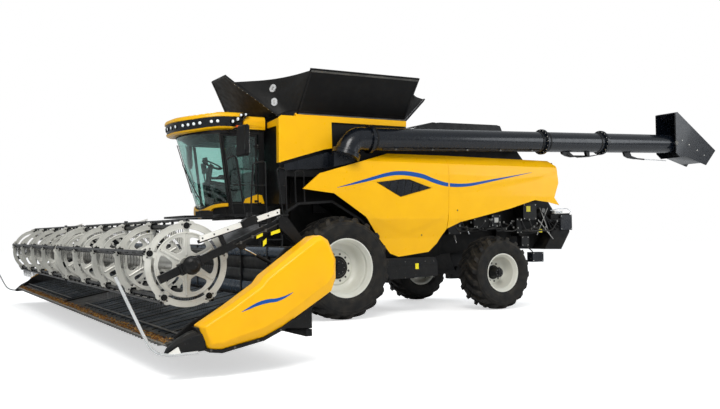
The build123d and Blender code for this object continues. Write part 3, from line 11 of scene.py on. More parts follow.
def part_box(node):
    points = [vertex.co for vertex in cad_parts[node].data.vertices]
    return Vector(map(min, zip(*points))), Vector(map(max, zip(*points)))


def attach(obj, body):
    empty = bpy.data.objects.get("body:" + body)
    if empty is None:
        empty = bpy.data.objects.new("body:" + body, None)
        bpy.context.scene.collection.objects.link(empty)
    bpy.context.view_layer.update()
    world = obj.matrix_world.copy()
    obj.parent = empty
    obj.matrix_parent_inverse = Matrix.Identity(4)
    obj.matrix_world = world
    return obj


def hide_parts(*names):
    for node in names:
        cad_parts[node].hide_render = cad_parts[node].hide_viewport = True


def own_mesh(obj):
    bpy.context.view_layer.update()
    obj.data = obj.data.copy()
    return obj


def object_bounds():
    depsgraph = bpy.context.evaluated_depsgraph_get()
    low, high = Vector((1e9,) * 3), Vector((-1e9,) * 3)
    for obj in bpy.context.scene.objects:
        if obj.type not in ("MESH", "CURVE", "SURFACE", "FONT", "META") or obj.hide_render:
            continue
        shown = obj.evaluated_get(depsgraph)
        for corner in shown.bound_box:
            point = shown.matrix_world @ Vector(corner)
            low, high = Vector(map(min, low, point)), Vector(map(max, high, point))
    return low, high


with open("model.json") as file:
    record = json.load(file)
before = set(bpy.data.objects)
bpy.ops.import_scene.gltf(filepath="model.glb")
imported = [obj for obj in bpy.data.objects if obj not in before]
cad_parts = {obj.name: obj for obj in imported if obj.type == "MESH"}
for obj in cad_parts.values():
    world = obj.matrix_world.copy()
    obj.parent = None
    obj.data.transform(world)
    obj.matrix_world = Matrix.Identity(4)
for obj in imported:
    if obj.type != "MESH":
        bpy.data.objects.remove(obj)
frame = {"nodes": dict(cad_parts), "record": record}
CAD_BOX = [list(corner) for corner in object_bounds()]

# All lengths are metres. The row frame's origin is on the ground under the middle of the machine. Most
# places here are counted from the front axle: X forwards, Y to the machine's left, Z up.


def middle(node):
    low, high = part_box(node)
    return (low + high) / 2


AXLE_X = middle("front_rim_left").x


def at(x, y, z):
    """Point counted from the front axle, as a point of the row frame."""
    return Vector((x + AXLE_X, y, z))


def line_of(places, side=1):
    """Points of the row frame from places counted from the front axle; side -1 puts them on the right."""
    return [at(x, side * y, z) for x, y, z in places]


# ---------------------------------------------------------------- camera, light, floor

EYE = at(7.823, 16.585, 1.730)
HEADING, PITCH, ROLL = math.radians(60.878), math.radians(1.895), math.radians(-0.656)
FOCAL_PIXELS, IMAGE_WIDTH, SENSOR = 841.3, 720, 36.0


def build_camera():
    forward = Vector((-math.cos(HEADING) * math.cos(PITCH), -math.sin(HEADING) * math.cos(PITCH), math.sin(PITCH)))
    level = Vector((-math.sin(HEADING), math.cos(HEADING), 0))
    rise = level.cross(forward)
    right = level * math.cos(ROLL) + rise * math.sin(ROLL)
    up = rise * math.cos(ROLL) - level * math.sin(ROLL)
    data = bpy.data.cameras.new("camera")
    data.sensor_width = SENSOR
    data.lens = FOCAL_PIXELS / IMAGE_WIDTH * SENSOR
    data.clip_end = 200
    data.dof.use_dof = False
    camera = bpy.data.objects.new("camera", data)
    bpy.context.scene.collection.objects.link(camera)
    camera.matrix_world = Matrix((
        (right.x, up.x, -forward.x, EYE.x),
        (right.y, up.y, -forward.y, EYE.y),
        (right.z, up.z, -forward.z, EYE.z),
        (0, 0, 0, 1),
    ))
    bpy.context.scene.camera = camera


def build_lights():
    for name, place, aim, size, power, tint in (
        ("key", (9.0, 15.0, 14.0), (0.0, 0.0, 1.5), 9.0, 1900, (1.0, 0.98, 0.95)),
        ("fill", (-14.0, 13.0, 7.0), (-2.0, 0.0, 2.0), 9.0, 650, (0.92, 0.96, 1.0)),
        ("back", (-4.0, -15.0, 12.0), (0.0, 0.0, 2.0), 10.0, 1000, (0.95, 0.97, 1.0)),
    ):
        data = bpy.data.lights.new(name, "AREA")
        data.shape = "DISK"
        data.size = size
        data.energy = power
        data.color = tint
        lamp = bpy.data.objects.new(name, data)
        bpy.context.scene.collection.objects.link(lamp)
        lamp.location = place
        lamp.rotation_euler = (Vector(aim) - Vector(place)).to_track_quat("-Z", "Y").to_euler()


def build_world():
    world = bpy.data.worlds.new("studio")
    bpy.context.scene.world = world
    world.use_nodes = True
    nodes, links = world.node_tree.nodes, world.node_tree.links
    nodes.clear()
    out = nodes.new("ShaderNodeOutputWorld")
    rays = nodes.new("ShaderNodeLightPath")
    soft = nodes.new("ShaderNodeBackground")
    soft.inputs["Strength"].default_value = 0.55
    place = nodes.new("ShaderNodeTexCoord")
    split = nodes.new("ShaderNodeSeparateXYZ")
    ramp = nodes.new("ShaderNodeValToRGB")
    ramp.color_ramp.elements[0].position = 0.42
    ramp.color_ramp.elements[0].color = (0.42, 0.41, 0.40, 1)
    ramp.color_ramp.elements[1].position = 0.62
    ramp.color_ramp.elements[1].color = (0.93, 0.97, 1.0, 1)
    shift = nodes.new("ShaderNodeMath")
    shift.operation = "MULTIPLY_ADD"
    shift.inputs[1].default_value = 0.5
    shift.inputs[2].default_value = 0.5
    links.new(place.outputs["Generated"], split.inputs[0])
    links.new(split.outputs["Z"], shift.inputs[0])
    links.new(shift.outputs[0], ramp.inputs[0])
    links.new(ramp.outputs[0], soft.inputs["Color"])
    white = nodes.new("ShaderNodeBackground")
    white.inputs["Color"].default_value = (1, 1, 1, 1)
    seen = nodes.new("ShaderNodeMath")
    seen.operation = "MAXIMUM"
    links.new(rays.outputs["Is Camera Ray"], seen.inputs[0])
    links.new(rays.outputs["Is Transmission Ray"], seen.inputs[1])
    mix = nodes.new("ShaderNodeMixShader")
    links.new(seen.outputs[0], mix.inputs[0])
    links.new(soft.outputs[0], mix.inputs[1])
    links.new(white.outputs[0], mix.inputs[2])
    links.new(mix.outputs[0], out.inputs[0])


def build_floor():
    bpy.ops.mesh.primitive_plane_add(size=160, location=(0, 0, CAD_BOX[0][2]))
    floor = bpy.context.object
    floor.name = "floor"
    made = bpy.data.materials.new("floor_pale")
    made.use_nodes = True
    nodes, links = made.node_tree.nodes, made.node_tree.links
    shader = nodes["Principled BSDF"]
    shader.inputs["Base Color"].default_value = (0.9, 0.9, 0.9, 1)
    shader.inputs["Roughness"].default_value = 0.95
    shader.inputs["Specular IOR Level"].default_value = 0.0
    # Seen straight on, the floor is lifted to white, and keeps the machine's shadow.
    rays = nodes.new("ShaderNodeLightPath")
    glow = nodes.new("ShaderNodeEmission")
    links.new(rays.outputs["Is Camera Ray"], glow.inputs["Strength"])
    glow.inputs["Color"].default_value = (0.56, 0.56, 0.56, 1)
    total = nodes.new("ShaderNodeAddShader")
    links.new(shader.outputs[0], total.inputs[0])
    links.new(glow.outputs[0], total.inputs[1])
    links.new(total.outputs[0], nodes["Material Output"].inputs["Surface"])
    floor.data.materials.append(made)


# ---------------------------------------------------------------- materials

DUST = (0.46, 0.38, 0.26, 1)


def rgb(code):
    """Linear colour from a hex code."""
    parts = [int(code[i:i + 2], 16) / 255 for i in (0, 2, 4)]
    return tuple(p / 12.92 if p <= 0.04045 else ((p + 0.055) / 1.055) ** 2.4 for p in parts) + (1,)


def surface(name, code, rough=0.4, metal=0.0, coat=0.0, grain=0.0, grain_scale=300, vary=0.08, vary_scale=2.5,
            dust=0.0, worn=0.0, rough_vary=0.08, emit=0.0, clear=0.0, sheen=0.0, streak=None, specular=0.5):
    """Material with uneven colour, uneven gloss, fine grain, settled dust and rubbed spots, all in object space."""
    made = bpy.data.materials.new(name)
    made.use_nodes = True
    nodes, links = made.node_tree.nodes, made.node_tree.links
    shader = nodes["Principled BSDF"]
    place = nodes.new("ShaderNodeTexCoord")
    base = rgb(code)

    def cloud(scale, detail=4.0, stretch=None):
        texture = nodes.new("ShaderNodeTexNoise")
        texture.inputs["Scale"].default_value = scale
        texture.inputs["Detail"].default_value = detail
        if stretch:
            mapping = nodes.new("ShaderNodeMapping")
            mapping.inputs["Scale"].default_value = stretch
            links.new(place.outputs["Object"], mapping.inputs["Vector"])
            links.new(mapping.outputs["Vector"], texture.inputs["Vector"])
        else:
            links.new(place.outputs["Object"], texture.inputs["Vector"])
        return texture.outputs["Fac"]

    def blend_colour(factor, first, second):
        mix = nodes.new("ShaderNodeMix")
        mix.data_type = "RGBA"
        links.new(factor, mix.inputs["Factor"])
        for socket, value in ((6, first), (7, second)):
            if isinstance(value, tuple):
                mix.inputs[socket].default_value = value
            else:
                links.new(value, mix.inputs[socket])
        return mix.outputs[2]

    def ranged(value, low, high, out_low, out_high):
        node = nodes.new("ShaderNodeMapRange")
        links.new(value, node.inputs["Value"])
        for key, number in (("From Min", low), ("From Max", high), ("To Min", out_low), ("To Max", out_high)):
            node.inputs[key].default_value = number
        return node.outputs["Result"]

    def product(first, second):
        node = nodes.new("ShaderNodeMath")
        node.operation = "MULTIPLY"
        links.new(first, node.inputs[0])
        links.new(second, node.inputs[1])
        return node.outputs[0]

    dark = tuple(c * (1 - vary) for c in base[:3]) + (1,)
    light = tuple(min(1, c * (1 + vary)) for c in base[:3]) + (1,)
    colour = blend_colour(ranged(cloud(vary_scale), 0.35, 0.65, 0, 1), dark, light)
    if streak:
        marks = ranged(cloud(streak, 6.0, (1, 1, 0.08)), 0.52, 0.7, 0, 0.35)
        colour = blend_colour(marks, colour, DUST)
    if worn:
        rubbed = ranged(cloud(38, 8.0), 0.62, 0.70, 0, worn)
        colour = blend_colour(rubbed, colour, (0.42, 0.41, 0.39, 1))
    if dust:
        facing = nodes.new("ShaderNodeNewGeometry")
        split = nodes.new("ShaderNodeSeparateXYZ")
        links.new(facing.outputs["Normal"], split.inputs[0])
        upward = ranged(split.outputs["Z"], 0.1, 0.95, 0.25, 1.0)
        lying = product(upward, ranged(cloud(5.5, 9.0), 0.38, 0.72, 0, dust))
        colour = blend_colour(lying, colour, DUST)
    links.new(colour, shader.inputs["Base Color"])
    links.new(ranged(cloud(9.0, 6.0), 0.3, 0.7, max(0.02, rough - rough_vary), min(1, rough + rough_vary)),
              shader.inputs["Roughness"])
    shader.inputs["Metallic"].default_value = metal
    shader.inputs["Coat Weight"].default_value = coat
    shader.inputs["Coat Roughness"].default_value = 0.06
    shader.inputs["Specular IOR Level"].default_value = specular
    shader.inputs["Transmission Weight"].default_value = clear
    if sheen:
        shader.inputs["Sheen Weight"].default_value = sheen
    if emit:
        shader.inputs["Emission Color"].default_value = base
        shader.inputs["Emission Strength"].default_value = emit
    if grain:
        bump = nodes.new("ShaderNodeBump")
        bump.inputs["Strength"].default_value = grain
        bump.inputs["Distance"].default_value = 0.002
        links.new(cloud(grain_scale, 3.0), bump.inputs["Height"])
        links.new(bump.outputs["Normal"], shader.inputs["Normal"])
    return made


FINISHES = {
    "yellow": dict(code="FFBE00", rough=0.34, coat=0.12, specular=0.25, vary=0.03, dust=0.02, grain=0.02,
                   grain_scale=60),
    "yellow_plastic": dict(code="FBB900", rough=0.4, coat=0.08, specular=0.22, vary=0.04, dust=0.03, grain=0.03,
                           grain_scale=90),
    "black_gloss": dict(code="0A0F17", rough=0.27, coat=0.25, vary=0.12, specular=0.35),
    "black_satin": dict(code="0C0D0F", rough=0.42, vary=0.2, dust=0.04, worn=0.05, specular=0.25),
    "black_rough": dict(code="0F1011", rough=0.6, vary=0.2, dust=0.06, specular=0.2, grain=0.25, grain_scale=220),
    "cover_black": dict(code="08090B", rough=0.5, specular=0.2, vary=0.12, dust=0.02, grain=0.05, grain_scale=120),
    "cloth": dict(code="080808", rough=0.5, specular=0.3, vary=0.25, dust=0.03, grain=0.4, grain_scale=420, sheen=0.1),
    "tyre": dict(code="161616", rough=0.66, specular=0.25, vary=0.18, dust=0.13, grain=0.35, grain_scale=160),
    "rim": dict(code="DCDCD2", rough=0.36, coat=0.3, vary=0.04, dust=0.16, streak=2.0),
    "ring_white": dict(code="D3D2CA", rough=0.42, metal=0.15, vary=0.10, dust=0.10, worn=0.55),
    "steel": dict(code="B4B3AE", rough=0.33, metal=0.9, vary=0.12, dust=0.16, worn=0.2),
    "steel_dark": dict(code="5A5A58", rough=0.45, metal=0.8, vary=0.2, dust=0.25, worn=0.3),
    "chrome": dict(code="D8DADC", rough=0.12, metal=1.0, vary=0.03),
    "white": dict(code="E9E8E2", rough=0.38, coat=0.3, vary=0.05, dust=0.18),
    "belt": dict(code="0A0C0E", rough=0.5, specular=0.25, vary=0.2, dust=0.10, grain=0.3, grain_scale=130),
    "glass": dict(code="BCDDD7", rough=0.02, vary=0.02, clear=1.0, rough_vary=0.01),
    "lens": dict(code="E8EEF0", rough=0.08, coat=0.9, vary=0.04, emit=0.25),
    "lens_red": dict(code="B0120C", rough=0.12, coat=0.9, vary=0.1, emit=0.10),
    "lens_orange": dict(code="E85A08", rough=0.12, coat=0.9, vary=0.1, emit=0.15),
    "blue": dict(code="0A4FA0", rough=0.35, specular=0.25, vary=0.03),
    "sticker": dict(code="F4E400", rough=0.4, coat=0.3, vary=0.04),
    "disc_grey": dict(code="C9CACB", rough=0.42, vary=0.06),
    "seat": dict(code="2B2D30", rough=0.85, vary=0.15, grain=0.6, grain_scale=500, sheen=0.3),
    "console": dict(code="26282A", rough=0.55, vary=0.1, grain=0.3, grain_scale=600),
    "engine": dict(code="4B4D50", rough=0.5, metal=0.3, vary=0.2, dust=0.3, grain=0.2, grain_scale=80),
    "rubber": dict(code="111112", rough=0.55, vary=0.1, dust=0.12),
    "straw": dict(code="7A4E1C", rough=0.85, vary=0.45, vary_scale=14.0),
    "straw_pale": dict(code="B98A45", rough=0.85, vary=0.4, vary_scale=14.0),
    "bat_black": dict(code="08090A", rough=0.38, vary=0.2, specular=0.3),
    "tine": dict(code="1A1B1C", rough=0.4, metal=0.3, vary=0.2, dust=0.08),
    # Slats: a lighter bluish grey than the belt, a painted highlight along each deck slat.
    "slat_painted_highlight": dict(code="3A444D", rough=0.4, vary=0.3, specular=0.3),
    # Beam: a bluish grey lighter than the black sheet, a painted reflection of the sky on the header's back beams.
    "beam": dict(code="2A3A4B", rough=0.30, coat=0.2, vary=0.10),
    "beam_dark": dict(code="0B0F14", rough=0.35, vary=0.12, specular=0.3),
    "rod_white": dict(code="C9CBCC", rough=0.28, metal=0.35, vary=0.08, dust=0.06),
}
MATERIALS = {name: surface(name, **values) for name, values in FINISHES.items()}

# ---------------------------------------------------------------- mesh helpers

SMOOTH_ANGLE = math.radians(32)


def square_axes(axis):
    """An axis made one metre long, and two directions square to it and to each other."""
    axis = Vector(axis).normalized()
    u = axis.orthogonal().normalized()
    return axis, u, axis.cross(u)


class Form:
    """A mesh under construction, whose faces may carry different finishes."""

    def __init__(self):
        self.bm = bmesh.new()
        self.finishes = []

    def number_of(self, finish):
        """Place of a finish in the mesh's own list."""
        if finish not in self.finishes:
            self.finishes.append(finish)
        return self.finishes.index(finish)

    def faces(self, points, rings, finish, close_u=True, close_v=False, caps=True):
        """Skin between rings of equal length; rings is how many, points run ring by ring."""
        number = self.number_of(finish)
        per = len(points) // rings
        verts = [self.bm.verts.new(p) for p in points]
        steps = rings if close_v else rings - 1
        for r in range(steps):
            for i in range(per if close_u else per - 1):
                a, b = r * per + i, r * per + (i + 1) % per
                c, d = ((r + 1) % rings) * per + (i + 1) % per, ((r + 1) % rings) * per + i
                self.bm.faces.new((verts[a], verts[b], verts[c], verts[d])).material_index = number
        if caps and close_u and not close_v:
            self.bm.faces.new(list(reversed(verts[:per]))).material_index = number
            self.bm.faces.new(verts[-per:]).material_index = number
        return verts

    def prism(self, outline, axis, low, high, finish):
        """Outline in the two other axes, in X, Y, Z order, pushed along one axis."""
        def place(pair, depth):
            values = list(pair)
            values.insert("XYZ".index(axis), depth)
            return at(*values)
        turn = sum(a[0] * b[1] - b[0] * a[1] for a, b in zip(outline, outline[1:] + outline[:1]))
        ring = list(outline) if (turn > 0) != (axis == "Y") else list(reversed(outline))
        low, high = min(low, high), max(low, high)
        self.faces([place(p, depth) for depth in (low, high) for p in ring], 2, finish)

    def box(self, x, y, z, finish):
        """Box between pairs of limits, counted from the front axle."""
        self.prism([(x[0], y[0]), (x[1], y[0]), (x[1], y[1]), (x[0], y[1])], "Z", z[0], z[1], finish)

    def rod(self, start, end, radius, finish, sides=16, tip=None):
        """Round bar between two points of the row frame; tip is its radius at the end."""
        along = Vector(end) - Vector(start)
        self.lathe([(0, radius), (along.length, radius if tip is None else tip)], start, along, finish, sides)

    def tube(self, points, radius, finish, sides=10, closed=False, flat=1.0):
        """Bar that follows a line of points; flat squeezes its section along the vertical."""
        points = [Vector(p) for p in points]
        rings = []
        up = None
        count = len(points)
        for i, point in enumerate(points):
            before = points[i - 1] if i or closed else point
            after = points[(i + 1) % count] if i < count - 1 or closed else point
            along = (after - before).normalized()
            if up is None:
                up = along.orthogonal().normalized()
            side = along.cross(up).normalized()
            up = side.cross(along).normalized()
            for k in range(sides):
                turn = 2 * math.pi * k / sides
                rings.append(point + side * math.cos(turn) * radius + up * math.sin(turn) * radius * flat)
        self.faces(rings, count, finish, close_v=closed)

    def lathe(self, profile, centre, axis, finish, sides=48, caps=True):
        """Profile of (distance along the axis, radius) turned about an axis through centre."""
        axis, u, v = square_axes(axis)
        points = []
        for along, radius in profile:
            for i in range(sides):
                turn = 2 * math.pi * i / sides
                points.append(Vector(centre) + axis * along + (u * math.cos(turn) + v * math.sin(turn)) * radius)
        self.faces(points, len(profile), finish, caps=caps)

    def bolt(self, place, axis, radius, finish):
        """Hexagon head on a washer."""
        rise = Vector(axis).normalized() * radius * 0.7
        self.rod(place, Vector(place) + rise * 0.25, radius * 1.35, finish, sides=12)
        self.rod(Vector(place) + rise * 0.2, Vector(place) + rise, radius, finish, sides=6)

    def bolt_ring(self, centre, axis, ring, count, radius, finish):
        """Bolts on a circle of radius ring round an axis."""
        axis, u, v = square_axes(axis)
        for i in range(count):
            turn = 2 * math.pi * i / count
            self.bolt(Vector(centre) + (u * math.cos(turn) + v * math.sin(turn)) * ring, axis, radius, finish)

    def finish(self, name, body, bevel=0.0, replaces=(), segments=2, slot=None, angle=SMOOTH_ANGLE):
        """Make the piece; its slot argument is not used."""
        bmesh.ops.recalc_face_normals(self.bm, faces=self.bm.faces)
        mesh = bpy.data.meshes.new(name)
        self.bm.to_mesh(mesh)
        self.bm.free()
        for finish in self.finishes:
            mesh.materials.append(MATERIALS[finish])
        return finish_object(name, mesh, body, bevel, replaces, segments, angle)


def finish_object(name, mesh, body, bevel, replaces, segments, angle=SMOOTH_ANGLE):
    """Piece made of a mesh, shaded smooth up to an angle, with rounded edges, on its body."""
    mesh.shade_smooth()
    mesh.set_sharp_from_angle(angle=angle)
    thing = bpy.data.objects.new(name, mesh)
    bpy.context.scene.collection.objects.link(thing)
    if bevel:
        edge = thing.modifiers.new("edges", "BEVEL")
        edge.width = bevel
        edge.segments = segments
        edge.limit_method = "ANGLE"
        edge.angle_limit = math.radians(28)
        edge.harden_normals = True
    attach(thing, body)
    if replaces:
        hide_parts(*replaces)
    return thing


BODY_OF = {node: body for body, nodes in frame["record"]["behaviour"]["bodies"].items() for node in nodes}
SIDES = ((1, "left"), (-1, "right"))


def cad_mesh(node):
    """A CAD node's own mesh, with its flat facets joined."""
    bm = bmesh.new()
    bm.from_mesh(frame["nodes"][node].data)
    bmesh.ops.remove_doubles(bm, verts=bm.verts, dist=1e-5)
    bmesh.ops.dissolve_limit(bm, angle_limit=math.radians(0.6), verts=bm.verts, edges=bm.edges)
    return bm


def stand_in(node, ending, bm, finish, width, angle=SMOOTH_ANGLE):
    """Piece that takes a CAD node's place, with its edges rounded."""
    mesh = bpy.data.meshes.new(node + ending)
    bm.to_mesh(mesh)
    bm.free()
    mesh.materials.append(MATERIALS[finish])
    finish_object(node + ending, mesh, BODY_OF[node], width, (node,), 2, angle)


bpy.context.scene.view_settings.view_transform = "Standard"
build_camera()
build_lights()
build_world()
build_floor()

# ---------------------------------------------------------------- CAD pieces, with rounded edges

ROUNDED = {
    "front_axle": ("black_satin", 0.012), "rear_axle": ("black_satin", 0.010),
    "rear_knuckle_left": ("black_satin", 0.006), "rear_knuckle_right": ("black_satin", 0.006),
    "steering_rod": ("chrome", 0.002), "separator_body": ("black_rough", 0.015),
    "engine_block": ("engine", 0.02), "grain_tank": ("black_satin", 0.008),
    "tank_cladding": ("yellow", 0.022), "engine_hood": ("black_satin", 0.03),
    "rear_hood": ("black_satin", 0.02), "residue_spreaders": ("black_rough", 0.012),
    "panel_frame": ("black_satin", 0.004), "wheel_guards": ("black_satin", 0.012),
    "access_platform": ("black_satin", 0.004), "left_cover": ("cover_black", 0.006),
    "right_cover": ("cover_black", 0.006), "front_cover": ("cover_black", 0.006),
    "rear_cover": ("cover_black", 0.006), "auger_turret": ("black_gloss", 0.005),
    "auger_tube": ("black_gloss", 0.004), "auger_end_tube": ("black_gloss", 0.004),
    "auger_spout": ("black_gloss", 0.02), "feeder_house": ("black_satin", 0.012),
    "feeder_mounts": ("black_satin", 0.006), "lift_barrels": ("black_satin", 0.004),
    "lift_rods": ("chrome", 0.003), "header_frame": ("black_satin", 0.006),
    "draper_belts": ("belt", 0.006), "cutterbar": ("steel_dark", 0.004),
    "reel_arms": ("black_satin", 0.006), "reel_carriers": ("black_satin", 0.005),
    "reel_barrels": ("black_satin", 0.003), "reel_rods": ("chrome", 0.002),
}
for node, (finish, width) in ROUNDED.items():
    stand_in(node, "_rounded", cad_mesh(node), finish, width)

# ---------------------------------------------------------------- wheels

Wheel = namedtuple("Wheel", "radius width track x rim lugs disc_y hub reach studs")
WHEELS = {"front": Wheel(1.03, 0.80, 1.625, 0.0, 0.565, 20, 1.52, 0.20, 0.06, 12),
          "rear": Wheel(0.81, 0.70, 1.63, -3.9, 0.400, 18, 1.56, 0.125, 0.20, 10)}
LUG_HEIGHT, RIM_WALL = 0.062, 0.018
# The tyre's side, as a share of its width from the middle, a share of its depth above the rim, and metres more.
TYRE_SIDE = ((-0.44, 0, 0.004), (-0.452, 0, 0.03), (-0.475, 0.16, 0), (-0.490, 0.22, 0), (-0.484, 0.235, 0),
             (-0.492, 0.25, 0), (-0.502, 0.40, 0), (-0.504, 0.52, 0), (-0.497, 0.60, 0), (-0.502, 0.62, 0),
             (-0.490, 0.64, 0), (-0.470, 0.74, 0))


def carcass_radius(radius, width, y):
    """Radius of the tread's base at a distance from the tyre's middle."""
    share = abs(y) / (width * 0.5)
    return radius - LUG_HEIGHT - 0.035 * share ** 2 - 0.10 * max(0, share - 0.84) / 0.16


def tyre(kind, side, word):
    """Carcass with two rows of lugs that lean back from the middle."""
    wheel = WHEELS[kind]
    radius, width = wheel.radius, wheel.width
    centre = at(wheel.x, side * wheel.track, radius)
    form = Form()
    profile = [(y * width, wheel.rim + (radius - wheel.rim) * share + more) for y, share, more in TYRE_SIDE]
    for k in range(-4, 5):
        y = k * width * 0.108
        profile.append((y, carcass_radius(radius, width, y)))
    profile += [(-y, r) for y, r in reversed(profile[:len(TYRE_SIDE)])]
    form.lathe(profile, centre, (0, 1, 0), "tyre", sides=96, caps=False)
    start, reach, sections = 0.012, width * 0.47, 10
    for row in (-1, 1):
        for i in range(wheel.lugs):
            base = 2 * math.pi * (i + (0.5 if row > 0 else 0)) / wheel.lugs
            rings = []
            for k in range(sections):
                share = k / (sections - 1)
                y = row * (start + share * (reach - start))
                lean = base + 0.34 * share ** 0.9 * (0.8 / radius) ** 0.5
                low = carcass_radius(radius, width, y) - 0.012
                crown = radius - 0.030 * share ** 2 - (0.13 * (share - 0.84) / 0.16 if share > 0.84 else 0)
                half_low, half_top = 0.058 + 0.012 * share, 0.036 + 0.012 * share
                for height, half in ((low, -half_low), (crown, -half_top), (crown, half_top), (low, half_low)):
                    turn = lean + half / radius
                    rings.append(centre + Vector((math.sin(turn) * height, y, math.cos(turn) * height)))
            form.faces(rings, sections, "tyre")
    node = f"{kind}_tyre_{word}"
    form.finish(f"{kind}_tread_{word}", BODY_OF[node], bevel=0.006, replaces=(node,))


def rim(kind, side, word):
    """Rim with its disc, studs, hub and valve."""
    wheel = WHEELS[kind]
    disc, hub, edge, drop = wheel.disc_y, wheel.hub, wheel.rim, wheel.rim * 0.86
    outer, inner = wheel.track + wheel.width * 0.44, wheel.track - wheel.width * 0.44
    cap = disc + wheel.reach
    form = Form()

    def spot(y, x=0.0):
        """Place at the wheel's height, y out from the machine's middle and x ahead of the axle."""
        return at(wheel.x, 0, wheel.radius) + Vector((x, side * y, 0))

    def turned_rim(profile, finish, sides, caps=True):
        form.lathe([(side * y, r) for y, r in profile], spot(0), (0, 1, 0), finish, sides, caps)

    outside = [(outer + 0.012, edge + 0.022), (outer + 0.016, edge + 0.004), (outer - 0.012, edge - 0.02),
               (outer - 0.045, edge - 0.026), (outer - 0.075, edge - 0.05), (outer - 0.16, edge - 0.052),
               (outer - 0.20, drop), (disc + 0.10, drop - 0.01), (disc + 0.05, drop - 0.03),
               (disc + 0.02, drop - 0.06), (disc, drop - 0.12), (disc + 0.03, hub + 0.13), (disc + 0.035, hub + 0.02)]
    inside = [(disc - 0.02, hub + 0.02), (disc - 0.02, drop - 0.08), (disc - 0.04, drop - 0.02),
              (inner + 0.18, drop), (inner + 0.08, edge - 0.05), (inner + 0.01, edge - 0.02),
              (inner - 0.012, edge + 0.022), (inner + 0.02, edge + 0.004), (inner + 0.20, drop + RIM_WALL),
              (outer - 0.20, drop + RIM_WALL), (outer - 0.02, edge + 0.004)]
    turned_rim(outside + inside + outside[:1], "rim", 72, caps=False)
    form.bolt_ring(spot(disc + 0.033), (0, side, 0), hub + 0.075, wheel.studs, 0.017, "steel_dark")
    turned_rim([(disc - 0.02, hub + 0.03), (disc + 0.05, hub + 0.03), (disc + 0.055, hub), (cap + 0.05, hub * 0.86),
                (cap + 0.065, hub * 0.8)], "black_satin", 32)
    form.bolt_ring(spot(cap + 0.062), (0, side, 0), hub * 0.6, 8, 0.012, "steel_dark")
    form.rod(spot(cap + 0.06), spot(cap + 0.10), hub * 0.34, "black_satin", sides=20)
    # The valve stands beside a stud of the disc.
    form.rod(spot(disc + 0.01, drop - 0.11), spot(disc + 0.09, drop - 0.10), 0.008, "rubber", sides=8)
    node = f"{kind}_rim_{word}"
    form.finish(f"{kind}_wheel_{word}", BODY_OF[node], replaces=(node,))


for kind in WHEELS:
    for side, word in SIDES:
        tyre(kind, side, word)
        rim(kind, side, word)

# ---------------------------------------------------------------- side panels


def between(table, value):
    """Second column of a table at a value of its first column, joined by straight runs."""
    rows = sorted(table)
    if value <= rows[0][0]:
        return rows[0][1]
    for (a, low), (b, high) in zip(rows, rows[1:]):
        if value <= b:
            return low + (high - low) * (value - a) / (b - a)
    return rows[-1][1]


def flowing(rows, steps):
    """Rows of numbers joined by a smooth curve through all of them."""
    made = []
    for i in range(len(rows) - 1):
        a, b, c, d = (rows[min(max(i + k, 0), len(rows) - 1)] for k in (-1, 0, 1, 2))
        for step in range(steps):
            t = step / steps
            made.append(tuple(
                0.5 * (2 * q + (r - p) * t + (2 * p - 5 * q + 4 * r - s) * t ** 2 + (3 * q - p - 3 * r + s) * t ** 3)
                for p, q, r, s in zip(a, b, c, d)))
    made.append(tuple(rows[-1]))
    return made


def eased(value):
    """0 to 1 with a soft start and end."""
    value = min(1, max(0, value))
    return value * value * (3 - 2 * value)


# Height and distance from the machine's middle of the side panels' outer face.
PANEL_SECTION = ((3.40, 1.60), (3.33, 1.64), (3.18, 1.77), (2.95, 1.80), (2.50, 1.80), (2.00, 1.78), (1.60, 1.66),
                 (1.15, 1.60))
# X and height of the shoulder below the blue stripe, and of the fold low on the front panel.
SHOULDER = flowing(((1.0, 2.40), (-0.26, 2.64), (-1.06, 2.85), (-1.45, 2.885), (-1.79, 2.85), (-2.14, 2.73),
                    (-2.58, 2.63), (-3.09, 2.65), (-4.11, 2.80), (-5.80, 3.10)), 6)
FOLD = ((1.0, 3.0), (-0.46, 2.20), (-0.94, 1.96), (-1.44, 1.755), (-1.60, 1.73), (-2.01, 1.85), (-2.51, 2.09),
        (-2.60, 2.14))
PANEL_EDGE = 0.015


def panel_recess(x, z):
    """How far the panel's outer face lies inside its plain section."""
    under = eased((between(SHOULDER, x) - z) / 0.055) * 0.013
    ridge = 0.0
    if -2.6 < x < -0.3:
        ridge = max(0, between(FOLD, x) - z) * 0.22
    return min(0.027, under + ridge)


def panel_face(x, z):
    return between(PANEL_SECTION, z) - panel_recess(x, z)


def side_panel(node, side):
    """A side panel, cut into a grid whose outer face is drawn in to form the shoulder and the fold."""
    bm = cad_mesh(node)
    low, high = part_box(node)
    for axis, step in ((0, 0.055), (2, 0.045)):
        normal = Vector((1, 0, 0) if axis == 0 else (0, 0, 1))
        value = low[axis] + step
        while value < high[axis] - 0.01:
            geometry = bm.verts[:] + bm.edges[:] + bm.faces[:]
            bmesh.ops.bisect_plane(bm, geom=geometry, plane_co=normal * value, plane_no=normal)
            value += step
    for vert in bm.verts:
        x, z = vert.co.x - AXLE_X, vert.co.z
        if abs(vert.co.y) > between(PANEL_SECTION, z) - PANEL_EDGE * 0.9:
            vert.co.y -= side * panel_recess(x, z)
    stand_in(node, "_formed", bm, "yellow", 0.006, math.radians(24))


# X, height of its upper edge, and width of the blue stripe. It stops short of the gap between the panels.
PANEL_GAP = (-2.606, -2.594)
STRIPE = ((0.10, 2.625, 0.004), (-0.52, 2.80, 0.050), (-1.07, 2.95, 0.068), (-1.46, 2.992, 0.078),
          (-1.91, 2.945, 0.085), (-2.23, 2.845, 0.080), (-2.60, 2.765, 0.070), (-3.10, 2.765, 0.058),
          (-3.72, 2.86, 0.042), (-4.90, 3.05, 0.004))


